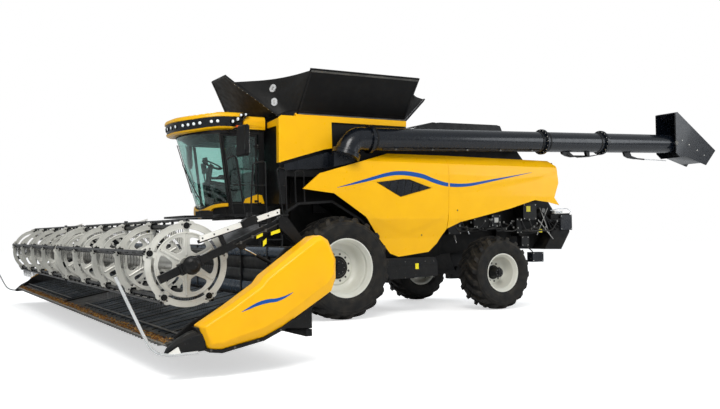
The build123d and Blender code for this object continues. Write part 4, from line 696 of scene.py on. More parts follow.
def stripe(name, side, rows, body):
    """Thin blue band that lies on the panel's face."""
    form = Form()
    points = []
    for x, top, width in rows:
        heights = [top - 1.12 * width * k / 5 for k in range(6)]
        points += [at(x, side * (panel_face(x, height) + 0.0045), height) for height in heights]
        points += [at(x, side * (panel_face(x, height) - 0.003), height) for height in reversed(heights)]
    form.faces(points, len(rows), "blue")
    form.finish(name, body)


VENT = ((-0.83, 2.745), (-1.44, 2.815), (-1.60, 2.812), (-2.13, 2.655), (-1.38, 2.468))
VENT_TOP, VENT_FOOT = VENT[:4], (VENT[0], VENT[4], VENT[3])
VENT_MARK = ((-1.30, 2.50), (-1.66, 2.60), (-1.40, 2.73), (-1.26, 2.70), (-1.45, 2.60))
for side, word in SIDES:
    side_panel(f"front_panel_{word}", side)
    side_panel(f"rear_panel_{word}", side)
    rows = flowing(STRIPE, 22)
    stripe(f"stripe_front_{word}", side, [row for row in rows if row[0] > PANEL_GAP[1]], f"front_panel_{word}")
    stripe(f"stripe_rear_{word}", side, [row for row in rows if row[0] < PANEL_GAP[0]], f"rear_panel_{word}")
    vent = Form()
    vent.prism(VENT, "Y", side * 1.782, side * 1.790, "black_gloss")
    vent.tube([at(x, side * 1.793, z) for x, z in VENT], 0.010, "black_satin", sides=8, closed=True)
    for k in range(5):
        x = -0.98 - (k + 0.7) / 5.6 * 1.02
        vent.rod(at(x, side * 1.792, between(VENT_FOOT, x) + 0.02),
                 at(x - 0.05, side * 1.792, between(VENT_TOP, x) - 0.02), 0.011, "black_satin", sides=6)
    vent.prism(VENT_MARK, "Y", side * 1.789, side * 1.797, "black_gloss")
    vent.finish(f"panel_vent_{word}", f"front_panel_{word}", bevel=0.002)
    for x, z, part in ((-1.98, 1.66, "front"), (-2.83, 2.18, "rear")):
        lock = Form()
        face = panel_face(x, z)
        lock.rod(at(x, side * (face - 0.004), z), at(x, side * (face + 0.004), z), 0.017, "black_satin", sides=20)
        lock.rod(at(x, side * face, z), at(x, side * (face + 0.007), z), 0.009, "steel_dark", sides=6)
        lock.finish(f"panel_lock_{part}_{word}", f"{part}_panel_{word}")
    lamp = Form()
    lamp.box((-5.60, -5.67), (side * 1.55, side * 1.625), (3.20, 3.30), "black_satin")
    for low, high, finish in ((3.215, 3.255, "lens_red"), (3.262, 3.29, "lens_orange")):
        lamp.box((-5.672, -5.678), (side * 1.56, side * 1.615), (low, high), finish)
    lamp.finish(f"tail_lamp_{word}", f"rear_panel_{word}", bevel=0.004)

# ---------------------------------------------------------------- tank covers and corner cloths

# How steeply each open cover stands, and the height of its hinge's line.
SIDE_RISE, FRONT_RISE, REAR_RISE = math.radians(51), math.radians(48), math.radians(45)
SIDE_HINGE, FRONT_HINGE, REAR_HINGE = 4.0992, 4.0404, 4.0415


def side_cover_point(x, run, out, side=1):
    """Point by a side cover: run up from its hinge, out from its inner face."""
    y = 1.45 + run * math.cos(SIDE_RISE) + out * math.sin(SIDE_RISE)
    return at(x, side * y, SIDE_HINGE + run * math.sin(SIDE_RISE) - out * math.cos(SIDE_RISE))


def front_cover_point(y, run, out):
    """The same by the front cover, at a distance from the machine's middle."""
    return at(1.07 + run * math.cos(FRONT_RISE) + out * math.sin(FRONT_RISE), y,
              FRONT_HINGE + run * math.sin(FRONT_RISE) - out * math.cos(FRONT_RISE))


def rear_cover_point(y, run, out):
    """The same by the rear cover."""
    return at(-1.70 - run * math.cos(REAR_RISE) - out * math.sin(REAR_RISE), y,
              REAR_HINGE + run * math.sin(REAR_RISE) - out * math.cos(REAR_RISE))


def strip(form, point, u, v, out, finish):
    """Flat bar on a cover between two places, each a pair of its own coordinates; point gives their place."""
    (u0, v0), (u1, v1) = u, v
    across = Vector((v1 - v0, u0 - u1)).normalized() * 0.02
    ring = []
    for a, b in ((u0, v0), (u1, v1)):
        for sign, height in ((1, out[0]), (-1, out[0]), (-1, out[1]), (1, out[1])):
            ring.append(point(a + across.x * sign, b + across.y * sign, height))
    form.faces(ring, 2, finish)


for side, word in SIDES:
    trim = Form()

    def here(x, run, out):
        return side_cover_point(x, run, out, side)

    strip(trim, here, (0.79, 0.985), (-1.66, 0.985), (0.029, 0.040), "steel_dark")
    strip(trim, here, (0.79, 0.075), (-1.66, 0.075), (0.029, 0.036), "black_satin")
    for x in (0.785, -1.655):
        strip(trim, here, (x, 0.10), (x, 0.97), (0.029, 0.036), "black_satin")
    for x in (0.15, -0.45, -1.05):
        strip(trim, here, (x, 0.10), (x, 0.96), (-0.012, 0.001), "black_satin")
    for k in range(12):
        x = 0.72 - k * 0.21
        place = here(x, 0.985, 0.040)
        trim.bolt(place, here(x, 0.985, 0.06) - place, 0.008, "steel_dark")
    trim.finish(f"cover_trim_{word}", f"{word}_cover", bevel=0.002, slot="cover_black")
    # A dark rail closes the gap under the cover.
    rail = Form()
    rail.prism([(side * 1.452, 4.082), (side * 1.512, 4.082), (side * 1.516, 4.105), (side * 1.500, 4.112),
                (side * 1.496, 4.086), (side * 1.452, 4.086)], "X", -1.70, 0.80, "steel_dark")
    rail.finish(f"cover_rail_{word}", "chassis", bevel=0.002, slot="cover_black")
trim = Form()
for u, v in (((-1.27, 0.03), (-0.515, 1.04)), ((-0.515, 1.04), (-0.39, 1.225)), ((-0.39, 1.228), (0.39, 1.228)),
             ((0.39, 1.225), (0.515, 1.04)), ((0.515, 1.04), (1.27, 0.03)), ((-1.25, 0.06), (1.25, 0.06))):
    strip(trim, front_cover_point, u, v, (0.029, 0.037), "black_satin")
for y in (-0.35, 0.35):
    strip(trim, front_cover_point, (y, 0.08), (y, 1.20), (-0.012, 0.001), "black_satin")
BOLTS_UP = 11
for k in range(BOLTS_UP):
    share = (k + 0.5) / BOLTS_UP
    for sign in (-1, 1):
        y, run = sign * (1.27 - share * 0.755), 0.03 + share * 1.01
        place = front_cover_point(y, run, 0.037)
        trim.bolt(place, front_cover_point(y, run, 0.06) - place, 0.009, "steel")
trim.finish("cover_trim_front", "front_cover", bevel=0.002, slot="cover_black")
trim = Form()
for u, v in (((-1.36, 0.80), (1.36, 0.80)), ((-1.36, 0.03), (-1.36, 0.78)), ((1.36, 0.03), (1.36, 0.78)),
             ((-1.34, 0.06), (1.34, 0.06))):
    strip(trim, rear_cover_point, u, v, (0.029, 0.037), "black_satin")
trim.finish("cover_trim_rear", "rear_cover", bevel=0.002, slot="cover_black")


def cloth_point(corners, u, v, depth, seed):
    """Point of a corner cloth: u across from the side cover, v up; it sags inwards and wrinkles."""
    low_a, high_a, low_b, high_b = corners
    start, end = low_a.lerp(high_a, v), low_b.lerp(high_b, v)
    point = start.lerp(end, u)
    inward = (end - start).cross(high_a - low_a).normalized()
    if inward.dot(at(-0.3, 0, 4.6) - point) < 0:
        inward = -inward
    hang = math.sin(math.pi * u) * depth * (0.25 + 0.75 * v)
    loose = math.sin(math.pi * u) ** 0.5 * min(1, v * 4)
    ripple = 0.020 * noise.noise(Vector((u * 3.1 + seed, v * 2.2, 0.3)))
    ripple += 0.012 * math.sin(9 * u + 5.5 * v + 2.6 * noise.noise(Vector((u * 2, v * 3, seed))))
    ripple += 0.006 * noise.noise(Vector((u * 11 + v * 4, v * 5 - u * 3, seed + 4)))
    point = point + inward * (hang + ripple * loose)
    point.z -= 0.10 * math.sin(math.pi * u) * v ** 3
    return point


def corner_cloth(name, corners, depth, seed):
    """A corner cloth, and the area of its sheet."""
    across, up = 48, 40
    bm = bmesh.new()
    rows = [[bm.verts.new(cloth_point(corners, i / across, j / up, depth, seed)) for i in range(across + 1)]
            for j in range(up + 1)]
    for j in range(up):
        for i in range(across):
            bm.faces.new((rows[j][i], rows[j][i + 1], rows[j + 1][i + 1], rows[j + 1][i]))
    area = sum(face.calc_area() for face in bm.faces)
    mesh = bpy.data.meshes.new(name)
    bm.to_mesh(mesh)
    bm.free()
    mesh.materials.append(MATERIALS["cloth"])
    mesh.shade_smooth()
    thing = bpy.data.objects.new(name, mesh)
    bpy.context.scene.collection.objects.link(thing)
    skin = thing.modifiers.new("thickness", "SOLIDIFY")
    skin.thickness = 0.004
    skin.offset = 0
    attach(thing, "chassis")
    return thing, area


def cover_line(place):
    """Two points that give the slope of the front or rear cover, from its hinge up."""
    point = front_cover_point if place == "front" else rear_cover_point
    return point(0, 0, -0.02), point(0, 1, -0.02)


def discs(name, corners, side, depth, seed):
    """Two pairs of overlapping plates on the cloth."""
    form = Form()
    for u, v in ((0.610, 0.715), (0.640, 0.665), (0.755, 0.335), (0.785, 0.285)):
        place = cloth_point(corners, u, v, depth, seed)
        right = cloth_point(corners, u + 0.02, v, depth, seed) - place
        up = cloth_point(corners, u, v + 0.02, depth, seed) - place
        normal = right.cross(up).normalized()
        if normal.dot(at(3, side * 3, 4.4) - place) < 0:
            normal = -normal
        form.rod(place - normal * 0.012, place + normal * 0.016, 0.062, "disc_grey", sides=28)
        form.rod(place + normal * 0.014, place + normal * 0.022, 0.018, "steel", sides=6)
    form.finish(name, "chassis", bevel=0.003, slot="cloth_black")
    low, high = cover_line("front")
    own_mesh(bpy.data.objects[name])


# How deep each corner cloth hangs, its seed, its size laid flat, and how far below the hinge it is folded down to.
CLOTHS = {"front": (0.22, 1.3, (1.89, 1.20), 0.03), "rear": (0.14, 7.1, (0.92, 0.77), 0.26)}
made = []
for side, word in SIDES:
    front = (side_cover_point(0.785, 0.06, -0.005, side), side_cover_point(0.785, 0.978, -0.005, side),
             front_cover_point(side * 1.2185, 0.06, -0.005), front_cover_point(side * 0.5075, 1.03, -0.005))
    rear = (side_cover_point(-1.655, 0.06, -0.005, side), side_cover_point(-1.655, 0.83, -0.005, side),
            rear_cover_point(side * 1.355, 0.06, -0.005), rear_cover_point(side * 1.355, 0.795, -0.005))
    for place, corners in (("front", front), ("rear", rear)):
        depth, seed = CLOTHS[place][:2]
        made.append((*corner_cloth(f"corner_cloth_{place}_{word}", corners, depth, seed + side), place, word))
    depth, seed = CLOTHS["front"][:2]
    discs(f"cloth_plates_{word}", front, side, depth, seed + side)
for thing, area, place, word in made:
    flat, below = CLOTHS[place][2:]
    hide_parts("corner_cloths")
    low, high = cover_line(place)
    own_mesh(thing)

# ---------------------------------------------------------------- cab

# Outer line of the windscreen in plan, as distance from the middle and X, at its lower and upper edge.
SCREEN_LOW = ((0, 2.29), (0.26, 2.28), (0.48, 2.245), (0.65, 2.18), (0.77, 2.10), (0.83, 2.05), (0.86, 1.99))
SCREEN_HIGH = ((0, 2.74), (0.26, 2.725), (0.48, 2.67), (0.65, 2.56), (0.77, 2.43), (0.83, 2.32), (0.86, 2.19))
ROOF_LINE = ((0, 2.98), (0.28, 2.965), (0.52, 2.89), (0.72, 2.74), (0.86, 2.55), (0.95, 2.31), (1.0, 2.02),
             (1.01, 1.74))
SCREEN_TOP, CAB_FLOOR, CAB_REAR = 3.72, 2.10, 1.30
POST_Y, SIDE_Y = 0.86, 0.945


def mirrored(rows):
    """A plan line's half, with its other half, as a smooth line from the right to the left."""
    return flowing([(-y, x) for y, x in reversed(rows[1:])] + list(rows), 4)


LOW_LINE, HIGH_LINE, ROOF_EDGE = mirrored(SCREEN_LOW), mirrored(SCREEN_HIGH), mirrored(ROOF_LINE)
SCREEN_COUNT = len(LOW_LINE)


def glass_foot(y):
    """Height of the windscreen's lower edge at a distance from the middle."""
    return 2.225 + 0.115 * eased(abs(y) / POST_Y)


def drawn_in(x, y, inset, centre_x=1.3):
    """Place in plan, moved by inset towards a point on the cab's middle line."""
    flat = Vector((x, y))
    return flat + (Vector((centre_x, 0)) - flat).normalized() * inset


def screen_point(i, share, inset=0.0):
    """Point of the windscreen: i along its plan line, share of its height, inset towards the cab's middle."""
    (y0, x0), (y1, x1) = LOW_LINE[i], HIGH_LINE[i]
    foot = glass_foot(y0)
    flat = drawn_in(x0 + (x1 - x0) * share, y0 + (y1 - y0) * share, inset)
    return at(flat.x, flat.y, foot + (SCREEN_TOP - foot) * share)


def slab(form, front, back, columns, finish):
    """Closed sheet between two grids of points, each row by row."""
    number = form.number_of(finish)
    rows = len(front) // columns
    near = [form.bm.verts.new(p) for p in front]
    far = [form.bm.verts.new(p) for p in back]
    for j in range(rows - 1):
        for i in range(columns - 1):
            a, b, c, d = j * columns + i, j * columns + i + 1, (j + 1) * columns + i + 1, (j + 1) * columns + i
            form.bm.faces.new((near[a], near[b], near[c], near[d])).material_index = number
            form.bm.faces.new((far[d], far[c], far[b], far[a])).material_index = number
    border = ([(0, i) for i in range(columns)] + [(j, columns - 1) for j in range(1, rows)]
              + [(rows - 1, i) for i in range(columns - 2, -1, -1)] + [(j, 0) for j in range(rows - 2, 0, -1)])
    border = [j * columns + i for j, i in border]
    for a, b in zip(border, border[1:] + border[:1]):
        form.bm.faces.new((near[b], near[a], far[a], far[b])).material_index = number


def band(form, line, rings, finish):
    """Strip that follows a plan line; rings are (height, inset) of its section, joined into a closed loop."""
    points = []
    for y, x in line:
        for height, inset in rings:
            flat = drawn_in(x, y, inset)
            points.append(at(flat.x, flat.y, height(y) if callable(height) else height))
    form.faces(points, len(line), finish)


def door_y(x):
    """Outer face of the cab's side at an X: it draws in towards the windscreen."""
    return SIDE_Y - max(0, x - 1.45) / 0.74 * (SIDE_Y - POST_Y)


def side_plate(form, outline, side, out, thick, finish):
    """Plate of a given outline in X and Z that follows the cab's side."""
    form.faces([at(x, side * (door_y(x) + depth), z) for depth in (out, out - thick) for x, z in outline], 2, finish)


def roof_drop(x):
    """How far the roof dips towards its visor."""
    return 0.085 * eased((x - 2.15) / 0.85)


shell = Form()
# Floor, back wall with its window, posts and the rail over the windows.
shell.prism([(CAB_REAR, -SIDE_Y), (1.45, -SIDE_Y)] + [(x - 0.01, y) for y, x in LOW_LINE[2:-2]]
            + [(1.45, SIDE_Y), (CAB_REAR, SIDE_Y)], "Z", CAB_FLOOR, CAB_FLOOR + 0.05, "black_satin")
BACK_WALL = (CAB_REAR, CAB_REAR + 0.045)
shell.box(BACK_WALL, (-0.94, 0.94), (CAB_FLOOR + 0.05, 3.0), "black_satin")
shell.box(BACK_WALL, (-0.94, 0.94), (3.66, 3.78), "black_satin")
for side in (1, -1):
    shell.box(BACK_WALL, (side * 0.78, side * 0.94), (3.0, 3.66), "black_satin")
    shell.box((CAB_REAR, CAB_REAR + 0.115), (side * 0.86, side * SIDE_Y), (CAB_FLOOR, 3.78), "black_satin")
    shell.rod(at(2.005, side * (POST_Y - 0.025), 2.27), at(2.195, side * (POST_Y - 0.025), 3.74), 0.030,
              "black_satin", sides=12)
    # Skirt below the side window, the rail above it, and the rubber under the door.
    for outline, out, thick, finish in (
        (((CAB_REAR, CAB_FLOOR), (2.06, CAB_FLOOR), (2.02, 2.315), (CAB_REAR, 2.305)), 0.0, 0.05, "black_satin"),
        (((CAB_REAR, 3.705), (2.20, 3.705), (2.26, 3.80), (CAB_REAR, 3.80)), 0.0, 0.06, "black_satin"),
        (((1.46, 2.312), (2.0, 2.316), (2.005, 2.335), (1.46, 2.332)), 0.012, 0.05, "rubber"),
    ):
        side_plate(shell, outline, side, out, thick, finish)
band(shell, LOW_LINE, ((lambda y: glass_foot(y) - 0.005, -0.004), (lambda y: glass_foot(y) - 0.005, 0.06),
                       (CAB_FLOOR, 0.05), (CAB_FLOOR, 0.0)), "black_satin")
band(shell, HIGH_LINE, ((3.79, -0.01), (3.79, 0.09), (3.735, 0.09), (3.70, 0.05), (3.70, -0.006)), "black_satin")
shell.prism([(CAB_REAR, -0.92), (2.15, -0.84), (2.66, -0.45), (2.70, 0.0), (2.66, 0.45), (2.15, 0.84),
             (CAB_REAR, 0.92)], "Z", 3.745, 3.80, "console")
# Roof console and blinds seen through the glass.
shell.box((1.62, 2.36), (-0.52, 0.52), (3.56, 3.74), "console")
shell.prism([(2.36, 3.58), (2.50, 3.66), (2.50, 3.74), (2.36, 3.74)], "Y", -0.60, 0.60, "console")
shell.finish("cab_shell", "chassis", bevel=0.005, replaces=("cab_frame",))


def trim_foot(lift):
    """Function that gives the height of the yellow band's lower edge at a distance from the middle."""
    return lambda y: glass_foot(y) - lift - 0.095 * (1 - eased((abs(y) - 0.42) / 0.16))


trim = Form()
# Yellow band under the windscreen, deep at the front and narrow towards the doors.
band(trim, [row for row in LOW_LINE if abs(row[0]) < 0.855],
     ((lambda y: glass_foot(y) - 0.006, -0.012), (lambda y: glass_foot(y) - 0.006, -0.050),
      (trim_foot(0.075), -0.055), (trim_foot(0.080), 0.0)), "yellow")
for side in (1, -1):
    side_plate(trim, [(1.300, 2.325), (1.425, 2.325), (1.425, 2.505), (1.355, 2.495)], side, 0.012, 0.03, "yellow")
trim.finish("cab_yellow_trim", "chassis", bevel=0.006)

glass = Form()
ROWS = 10
near, far = ([screen_point(i, 0.004 + 0.992 * j / ROWS, inset) for j in range(ROWS + 1) for i in range(SCREEN_COUNT)]
             for inset in (0.0, 0.008))
slab(glass, near, far, SCREEN_COUNT, "glass")
side_plate(glass, [(1.42, 2.32), (1.985, 2.33), (2.165, 3.70), (1.42, 3.70)], -1, -0.012, 0.010, "glass")
glass.box((CAB_REAR + 0.012, CAB_REAR + 0.022), (-0.78, 0.78), (3.0, 3.66), "glass")
glass.finish("cab_windows", "chassis", replaces=("cab_glass",), angle=math.radians(50))

seal = Form()
for share in (0.012, 0.988):
    seal.tube([screen_point(i, share, -0.003) for i in range(SCREEN_COUNT)], 0.010, "rubber", sides=6)
for i in (1, SCREEN_COUNT - 2):
    seal.tube([screen_point(i, j / 12, -0.003) for j in range(13)], 0.012, "rubber", sides=6)
side_plate(seal, [(1.395, 2.31), (1.43, 2.31), (1.43, 3.71), (1.395, 3.71)], -1, 0.004, 0.02, "rubber")
seal.finish("cab_window_seals", "chassis")

DOOR_HINGES = (2.35, 3.45)
door = Form()
outline = ((1.456, 2.322), (1.990, 2.332), (2.170, 3.698), (1.456, 3.698))
inner = ((1.488, 2.356), (1.962, 2.366), (2.134, 3.664), (1.488, 3.664))
OUTSIDE, INSIDE = 0.002, -0.034
door.faces([at(x, door_y(x) + depth, z)
            for ring, depth in ((outline, OUTSIDE), (inner, OUTSIDE), (inner, INSIDE), (outline, INSIDE))
            for x, z in ring], 4, "black_satin", close_v=True)
# Handle with its recess, hinges, and the yellow corner.
door.tube([at(2.02, door_y(2.02) + 0.004, 2.62), at(2.035, door_y(2.03) + 0.040, 2.64),
           at(2.06, door_y(2.05) + 0.040, 2.86), at(2.065, door_y(2.06) + 0.004, 2.88)], 0.010, "black_satin", sides=8)
side_plate(door, [(1.985, 2.70), (2.03, 2.70), (2.05, 2.84), (2.005, 2.84)], 1, 0.010, 0.03, "black_rough")
door.tube([at(1.52, door_y(1.52) - 0.045, 2.75), at(1.60, door_y(1.6) - 0.075, 2.75),
           at(1.85, door_y(1.85) - 0.075, 2.75), at(1.93, door_y(1.93) - 0.045, 2.75)], 0.012, "black_satin", sides=8)
for z in DOOR_HINGES:
    door.box((1.444, 1.514), (0.946, 0.966), (z + 0.002, z + 0.045), "black_satin")
    door.rod(at(1.444, 0.966, z + 0.002), at(1.444, 0.966, z + 0.045), 0.014, "black_satin", sides=16)
side_plate(door, [(1.452, 2.335), (1.735, 2.335), (1.700, 2.420), (1.452, 2.512)], 1, 0.008, 0.010, "yellow")
door.finish("cab_door_frame", "cab_door", bevel=0.004, replaces=("cab_door",))
pane = Form()
side_plate(pane, [(1.484, 2.352), (1.966, 2.362), (2.138, 3.668), (1.484, 3.668)], 1, -0.010, 0.010, "glass")
pane.finish("cab_door_pane", "cab_door", replaces=("door_glass",))
hinges = Form()
for z in DOOR_HINGES:
    hinges.box((1.374, 1.444), (0.944, 0.966), (z - 0.045, z - 0.002), "black_satin")
    hinges.rod(at(1.444, 0.966, z - 0.045), at(1.444, 0.966, z - 0.002), 0.014, "black_satin", sides=16)
    hinges.rod(at(1.444, 0.966, z - 0.045), at(1.444, 0.966, z + 0.048), 0.0068, "steel", sides=12)
hinges.finish("cab_door_hinges", "chassis", bevel=0.002)

roof = Form()
roof_rows = [(0.10, 3.79, "black_satin"), (0.045, 3.812, "yellow"), (0.030, 3.842, "yellow"),
             (0.048, 3.848, "black_gloss"), (0.022, 4.030, "black_gloss"), (0.0, 4.036, "yellow"),
             (0.004, 4.075, "yellow"), (0.022, 4.105, "yellow"), (0.07, 4.125, "yellow"), (0.22, 4.138, "yellow"),
             (0.55, 4.142, "yellow")]
for (inset0, z0, _), (inset1, z1, finish) in zip(roof_rows, roof_rows[1:]):
    ring = []
    for inset, z in ((inset0, z0), (inset1, z1)):
        for y, x in ROOF_EDGE:
            flat = drawn_in(x, y, inset, 1.5)
            ring.append(at(max(flat.x, 1.74), flat.y, z - roof_drop(x)))
    roof.faces(ring, 2, finish, close_u=False)
bmesh.ops.remove_doubles(roof.bm, verts=roof.bm.verts, dist=0.0003)
bmesh.ops.holes_fill(roof.bm, edges=[edge for edge in roof.bm.edges if edge.is_boundary], sides=0)
rear_roof = [(1.0, 3.80), (1.01, 3.83), (1.012, 3.90), (1.01, 4.00), (0.99, 4.045), (0.93, 4.065)]
ring = rear_roof + [(-y, z) for y, z in reversed(rear_roof)]
roof.faces([at(x, y, z) for x in (CAB_REAR, 1.76) for y, z in ring], 2, "yellow")
for side in (1, -1):
    # Moulded panel in the roof's side.
    roof.prism([(1.335, 3.845), (1.70, 3.845), (1.735, 3.905), (1.70, 3.975), (1.335, 3.975)], "Y", side * 1.008,
               side * 1.020, "yellow")
    roof.prism([(1.42, 3.872), (1.67, 3.872), (1.69, 3.905), (1.67, 3.948), (1.42, 3.948)], "Y", side * 1.016,
               side * 1.028, "yellow")
roof.finish("cab_roof_shell", "chassis", bevel=0.006, replaces=("cab_roof",), angle=math.radians(38))

lamps = Form()


def roof_place(y, inset, z):
    """Point on the visor at a distance from the middle, with its outward direction."""
    edge = sorted(ROOF_EDGE)
    k = max(1, min(len(edge) - 2, min(range(len(edge)), key=lambda i: abs(edge[i][0] - y))))
    (y0, x0), (y1, x1) = edge[k - 1], edge[k + 1]
    x = x0 + (x1 - x0) * (y - y0) / (y1 - y0)
    outward = Vector((y1 - y0, -(x1 - x0))).normalized()
    flat = Vector((x, y)) - outward * inset
    return at(flat.x, flat.y, z - roof_drop(x)), Vector((outward.x, outward.y, -0.12)).normalized()


def lamp_at(body, lens, place, outward, sides):
    """Round lamp from the profiles of its body and of its lens."""
    lamps.lathe(body, place, outward, "black_satin", sides=sides)
    lamps.lathe(lens, place, outward, "lens", sides=sides)


for y in (0.12, 0.34, 0.56, 0.665, 0.755, 0.83, 0.925, 0.958):
    for side in (1, -1):
        lamp_at([(-0.02, 0.040), (0.020, 0.043), (0.030, 0.040), (0.026, 0.034)],
                [(0.010, 0.034), (0.028, 0.031), (0.034, 0.018), (0.036, 0.004)],
                *roof_place(side * y, 0.045, 3.945), 20)
for side in (1, -1):
    # Lamp cluster, marker and bracket at the visor's end.
    for x, y, z, r in ((1.96, 1.035, 3.93, 0.045), (1.86, 1.045, 3.98, 0.050), (1.80, 1.06, 4.06, 0.042),
                       (1.70, 1.06, 4.075, 0.038)):
        lamp_at([(-0.05, r * 0.6), (-0.03, r), (0.03, r), (0.045, r * 0.86)],
                [(0.040, r * 0.84), (0.052, r * 0.5), (0.055, 0.004)],
                at(x, side * y, z), (0.85, side * 0.5, 0), 18)
    lamps.tube(line_of(((1.98, 0.99, 3.85), (1.93, 1.03, 3.87), (1.84, 1.05, 3.93), (1.74, 1.05, 4.02),
                        (1.68, 1.05, 4.10)), side), 0.016, "black_satin", sides=8)
    lamps.box((1.86, 1.93), (side * 1.02, side * 1.075), (3.80, 3.855), "lens_orange")
    lamps.box((1.80, 1.86), (side * 1.02, side * 1.075), (3.80, 3.855), "lens_red")
lamps.finish("cab_roof_lamps", "chassis", bevel=0.003, replaces=("roof_lamps",))


def mirror_place(depth, side, y, z):
    """Point of a mirror, which is turned a little towards the driver."""
    return at(2.025 + depth + (MIRROR_Y - y) * 0.22, side * y, z)


MIRROR_Y, MIRROR_Z = 1.66, 3.49
MIRROR = ((1.475, 3.215), (1.50, 3.19), (1.80, 3.20), (1.832, 3.235), (1.835, 3.76), (1.80, 3.79), (1.535, 3.785),
          (1.50, 3.75))
MIRROR_GLASSES = (((1.53, 3.24), (1.79, 3.25), (1.79, 3.52), (1.545, 3.52)),
                  ((1.55, 3.56), (1.79, 3.56), (1.79, 3.74), (1.56, 3.74)))
mirrors = Form()
for side in (1, -1):
    mirrors.faces([mirror_place(depth, side, y + (MIRROR_Y - y) * inset / 0.18, z + (MIRROR_Z - z) * inset / 0.29)
                   for depth, inset in ((-0.045, 0.035), (-0.03, 0.008), (0.0, 0.0), (0.025, 0.004), (0.045, 0.03))
                   for y, z in MIRROR], 5, "black_satin")
    for outline in MIRROR_GLASSES:
        mirrors.faces([mirror_place(depth, side, y, z) for depth in (-0.049, -0.055) for y, z in outline], 2, "chrome")
    mirrors.tube(line_of(((2.03, 0.95, 3.745), (2.03, 1.30, 3.765), (2.025, 1.62, 3.745)), side), 0.018,
                 "black_satin", sides=8)
mirrors.finish("cab_mirrors", "chassis", bevel=0.004)

# Wiper on the windscreen and the bright grab bar beside it.
wiper = Form()
CENTRE = SCREEN_COUNT // 2
foot, tip = screen_point(CENTRE + 4, 0.01, -0.03), screen_point(CENTRE - 6, 0.62, -0.03)
wiper.rod(foot, foot + Vector((0.02, 0, -0.02)), 0.03, "black_satin", sides=16)
wiper.tube([foot, foot.lerp(tip, 0.35) + Vector((0.02, 0, 0)), tip], 0.011, "black_satin", sides=8)
wiper.rod(screen_point(CENTRE - 5, 0.22, -0.022), screen_point(CENTRE - 8, 0.90, -0.022), 0.009, "rubber", sides=6)
BAR = 5
wiper.tube([screen_point(BAR, j / 14, -0.055 - 0.02 * math.sin(j * 0.9)) for j in range(1, 14)], 0.014, "white",
           sides=8)
for j in (2, 5, 8, 11):
    wiper.rod(screen_point(BAR, j / 14, -0.005), screen_point(BAR, j / 14, -0.055), 0.012, "black_satin", sides=8)
wiper.finish("cab_wiper", "chassis")

# ---------------------------------------------------------------- inside the cab


def crowned(name, outline, depth, matrix, rolls=0):
    """Upholstered pad: outline in its own X and Y, crowned over depth, with sewn channels across."""
    steps = 26
    (x0, x1), (y0, y1) = outline
    grids = []
    for sign in (1, -1):
        grid = []
        for j in range(steps + 1):
            for i in range(steps + 1):
                u, v = i / steps * 2 - 1, j / steps * 2 - 1
                su, sv = math.copysign(abs(u) ** 0.8, u), math.copysign(abs(v) ** 0.8, v)
                corner = (1 - abs(u) ** 6) ** 0.5 * (1 - abs(v) ** 6) ** 0.5
                height = depth * 0.5 * (0.35 + 0.65 * corner) if corner > 0 else depth * 0.175
                pull = 1 - 0.05 * (1 - corner)
                x = (x0 + x1) / 2 + su * (x1 - x0) / 2 * pull
                y = (y0 + y1) / 2 + sv * (y1 - y0) / 2 * pull
                if rolls and sign > 0:
                    height -= 0.10 * depth * math.exp(-((v * rolls * 0.5) % 1 - 0.5) ** 2 / 0.006) * corner
                    height += 0.006 * noise.noise(Vector((x * 9, y * 9, 2)))
                grid.append(matrix @ Vector((x, y, sign * height)))
        grids.append(grid)
    form = Form()
    slab(form, *grids, steps + 1, "seat")
    thing = form.finish(name, "chassis", angle=math.radians(60))
    smooth = thing.modifiers.new("smooth", "SUBSURF")
    smooth.levels = smooth.render_levels = 1


def turned(x, z, lean):
    return Matrix.Translation(at(x, 0, z)) @ Matrix.Rotation(math.radians(lean), 4, "Y")


crowned("seat_cushion", ((-0.26, 0.27), (-0.26, 0.26)), 0.16, turned(1.82, 2.66, -4), 4)
crowned("seat_back", ((-0.36, 0.32), (-0.25, 0.25)), 0.15, turned(1.60, 3.00, -80), 5)
crowned("seat_headrest", ((-0.10, 0.10), (-0.15, 0.15)), 0.11, turned(1.535, 3.44, -82))
inside = Form()
inside.box((1.62, 2.02), (-0.21, 0.21), (2.46, 2.59), "console")
for k in range(4):
    inside.box((1.66 + k * 0.012, 1.98 - k * 0.012), (-0.18, 0.18), (2.16 + k * 0.075, 2.225 + k * 0.075), "rubber")
inside.tube(line_of(((1.545, 0, 3.30), (1.535, 0, 3.40))), 0.02, "steel_dark", sides=8)
for side in (1, -1):
    inside.tube(line_of(((1.62, 0.29, 2.85), (1.70, 0.30, 2.90), (2.00, 0.30, 2.90), (2.04, 0.30, 2.86)), side), 0.035,
                "console", sides=10, flat=0.6)
# Side console with its lever, the screen over it, and a second screen above.
inside.prism([(1.58, 2.35), (2.06, 2.35), (2.12, 2.80), (2.02, 2.86), (1.60, 2.80)], "Y", -0.46, -0.34, "console")
inside.tube(line_of(((2.02, -0.38, 2.86), (2.05, -0.38, 2.95), (2.04, -0.37, 3.02))), 0.020, "rubber", sides=10)
inside.prism([(2.05, 3.00), (2.075, 3.00), (2.115, 3.22), (2.09, 3.22)], "Y", -0.60, -0.32, "console")
inside.prism([(2.072, 3.02), (2.074, 3.02), (2.110, 3.20), (2.108, 3.20)], "Y", -0.59, -0.33, "black_gloss")
inside.tube(line_of(((2.06, -0.42, 2.80), (2.08, -0.45, 2.92), (2.09, -0.46, 3.05))), 0.014, "console", sides=8)
inside.prism([(2.02, 3.18), (2.05, 3.18), (2.07, 3.34), (2.04, 3.34)], "Y", -0.60, -0.36, "console")
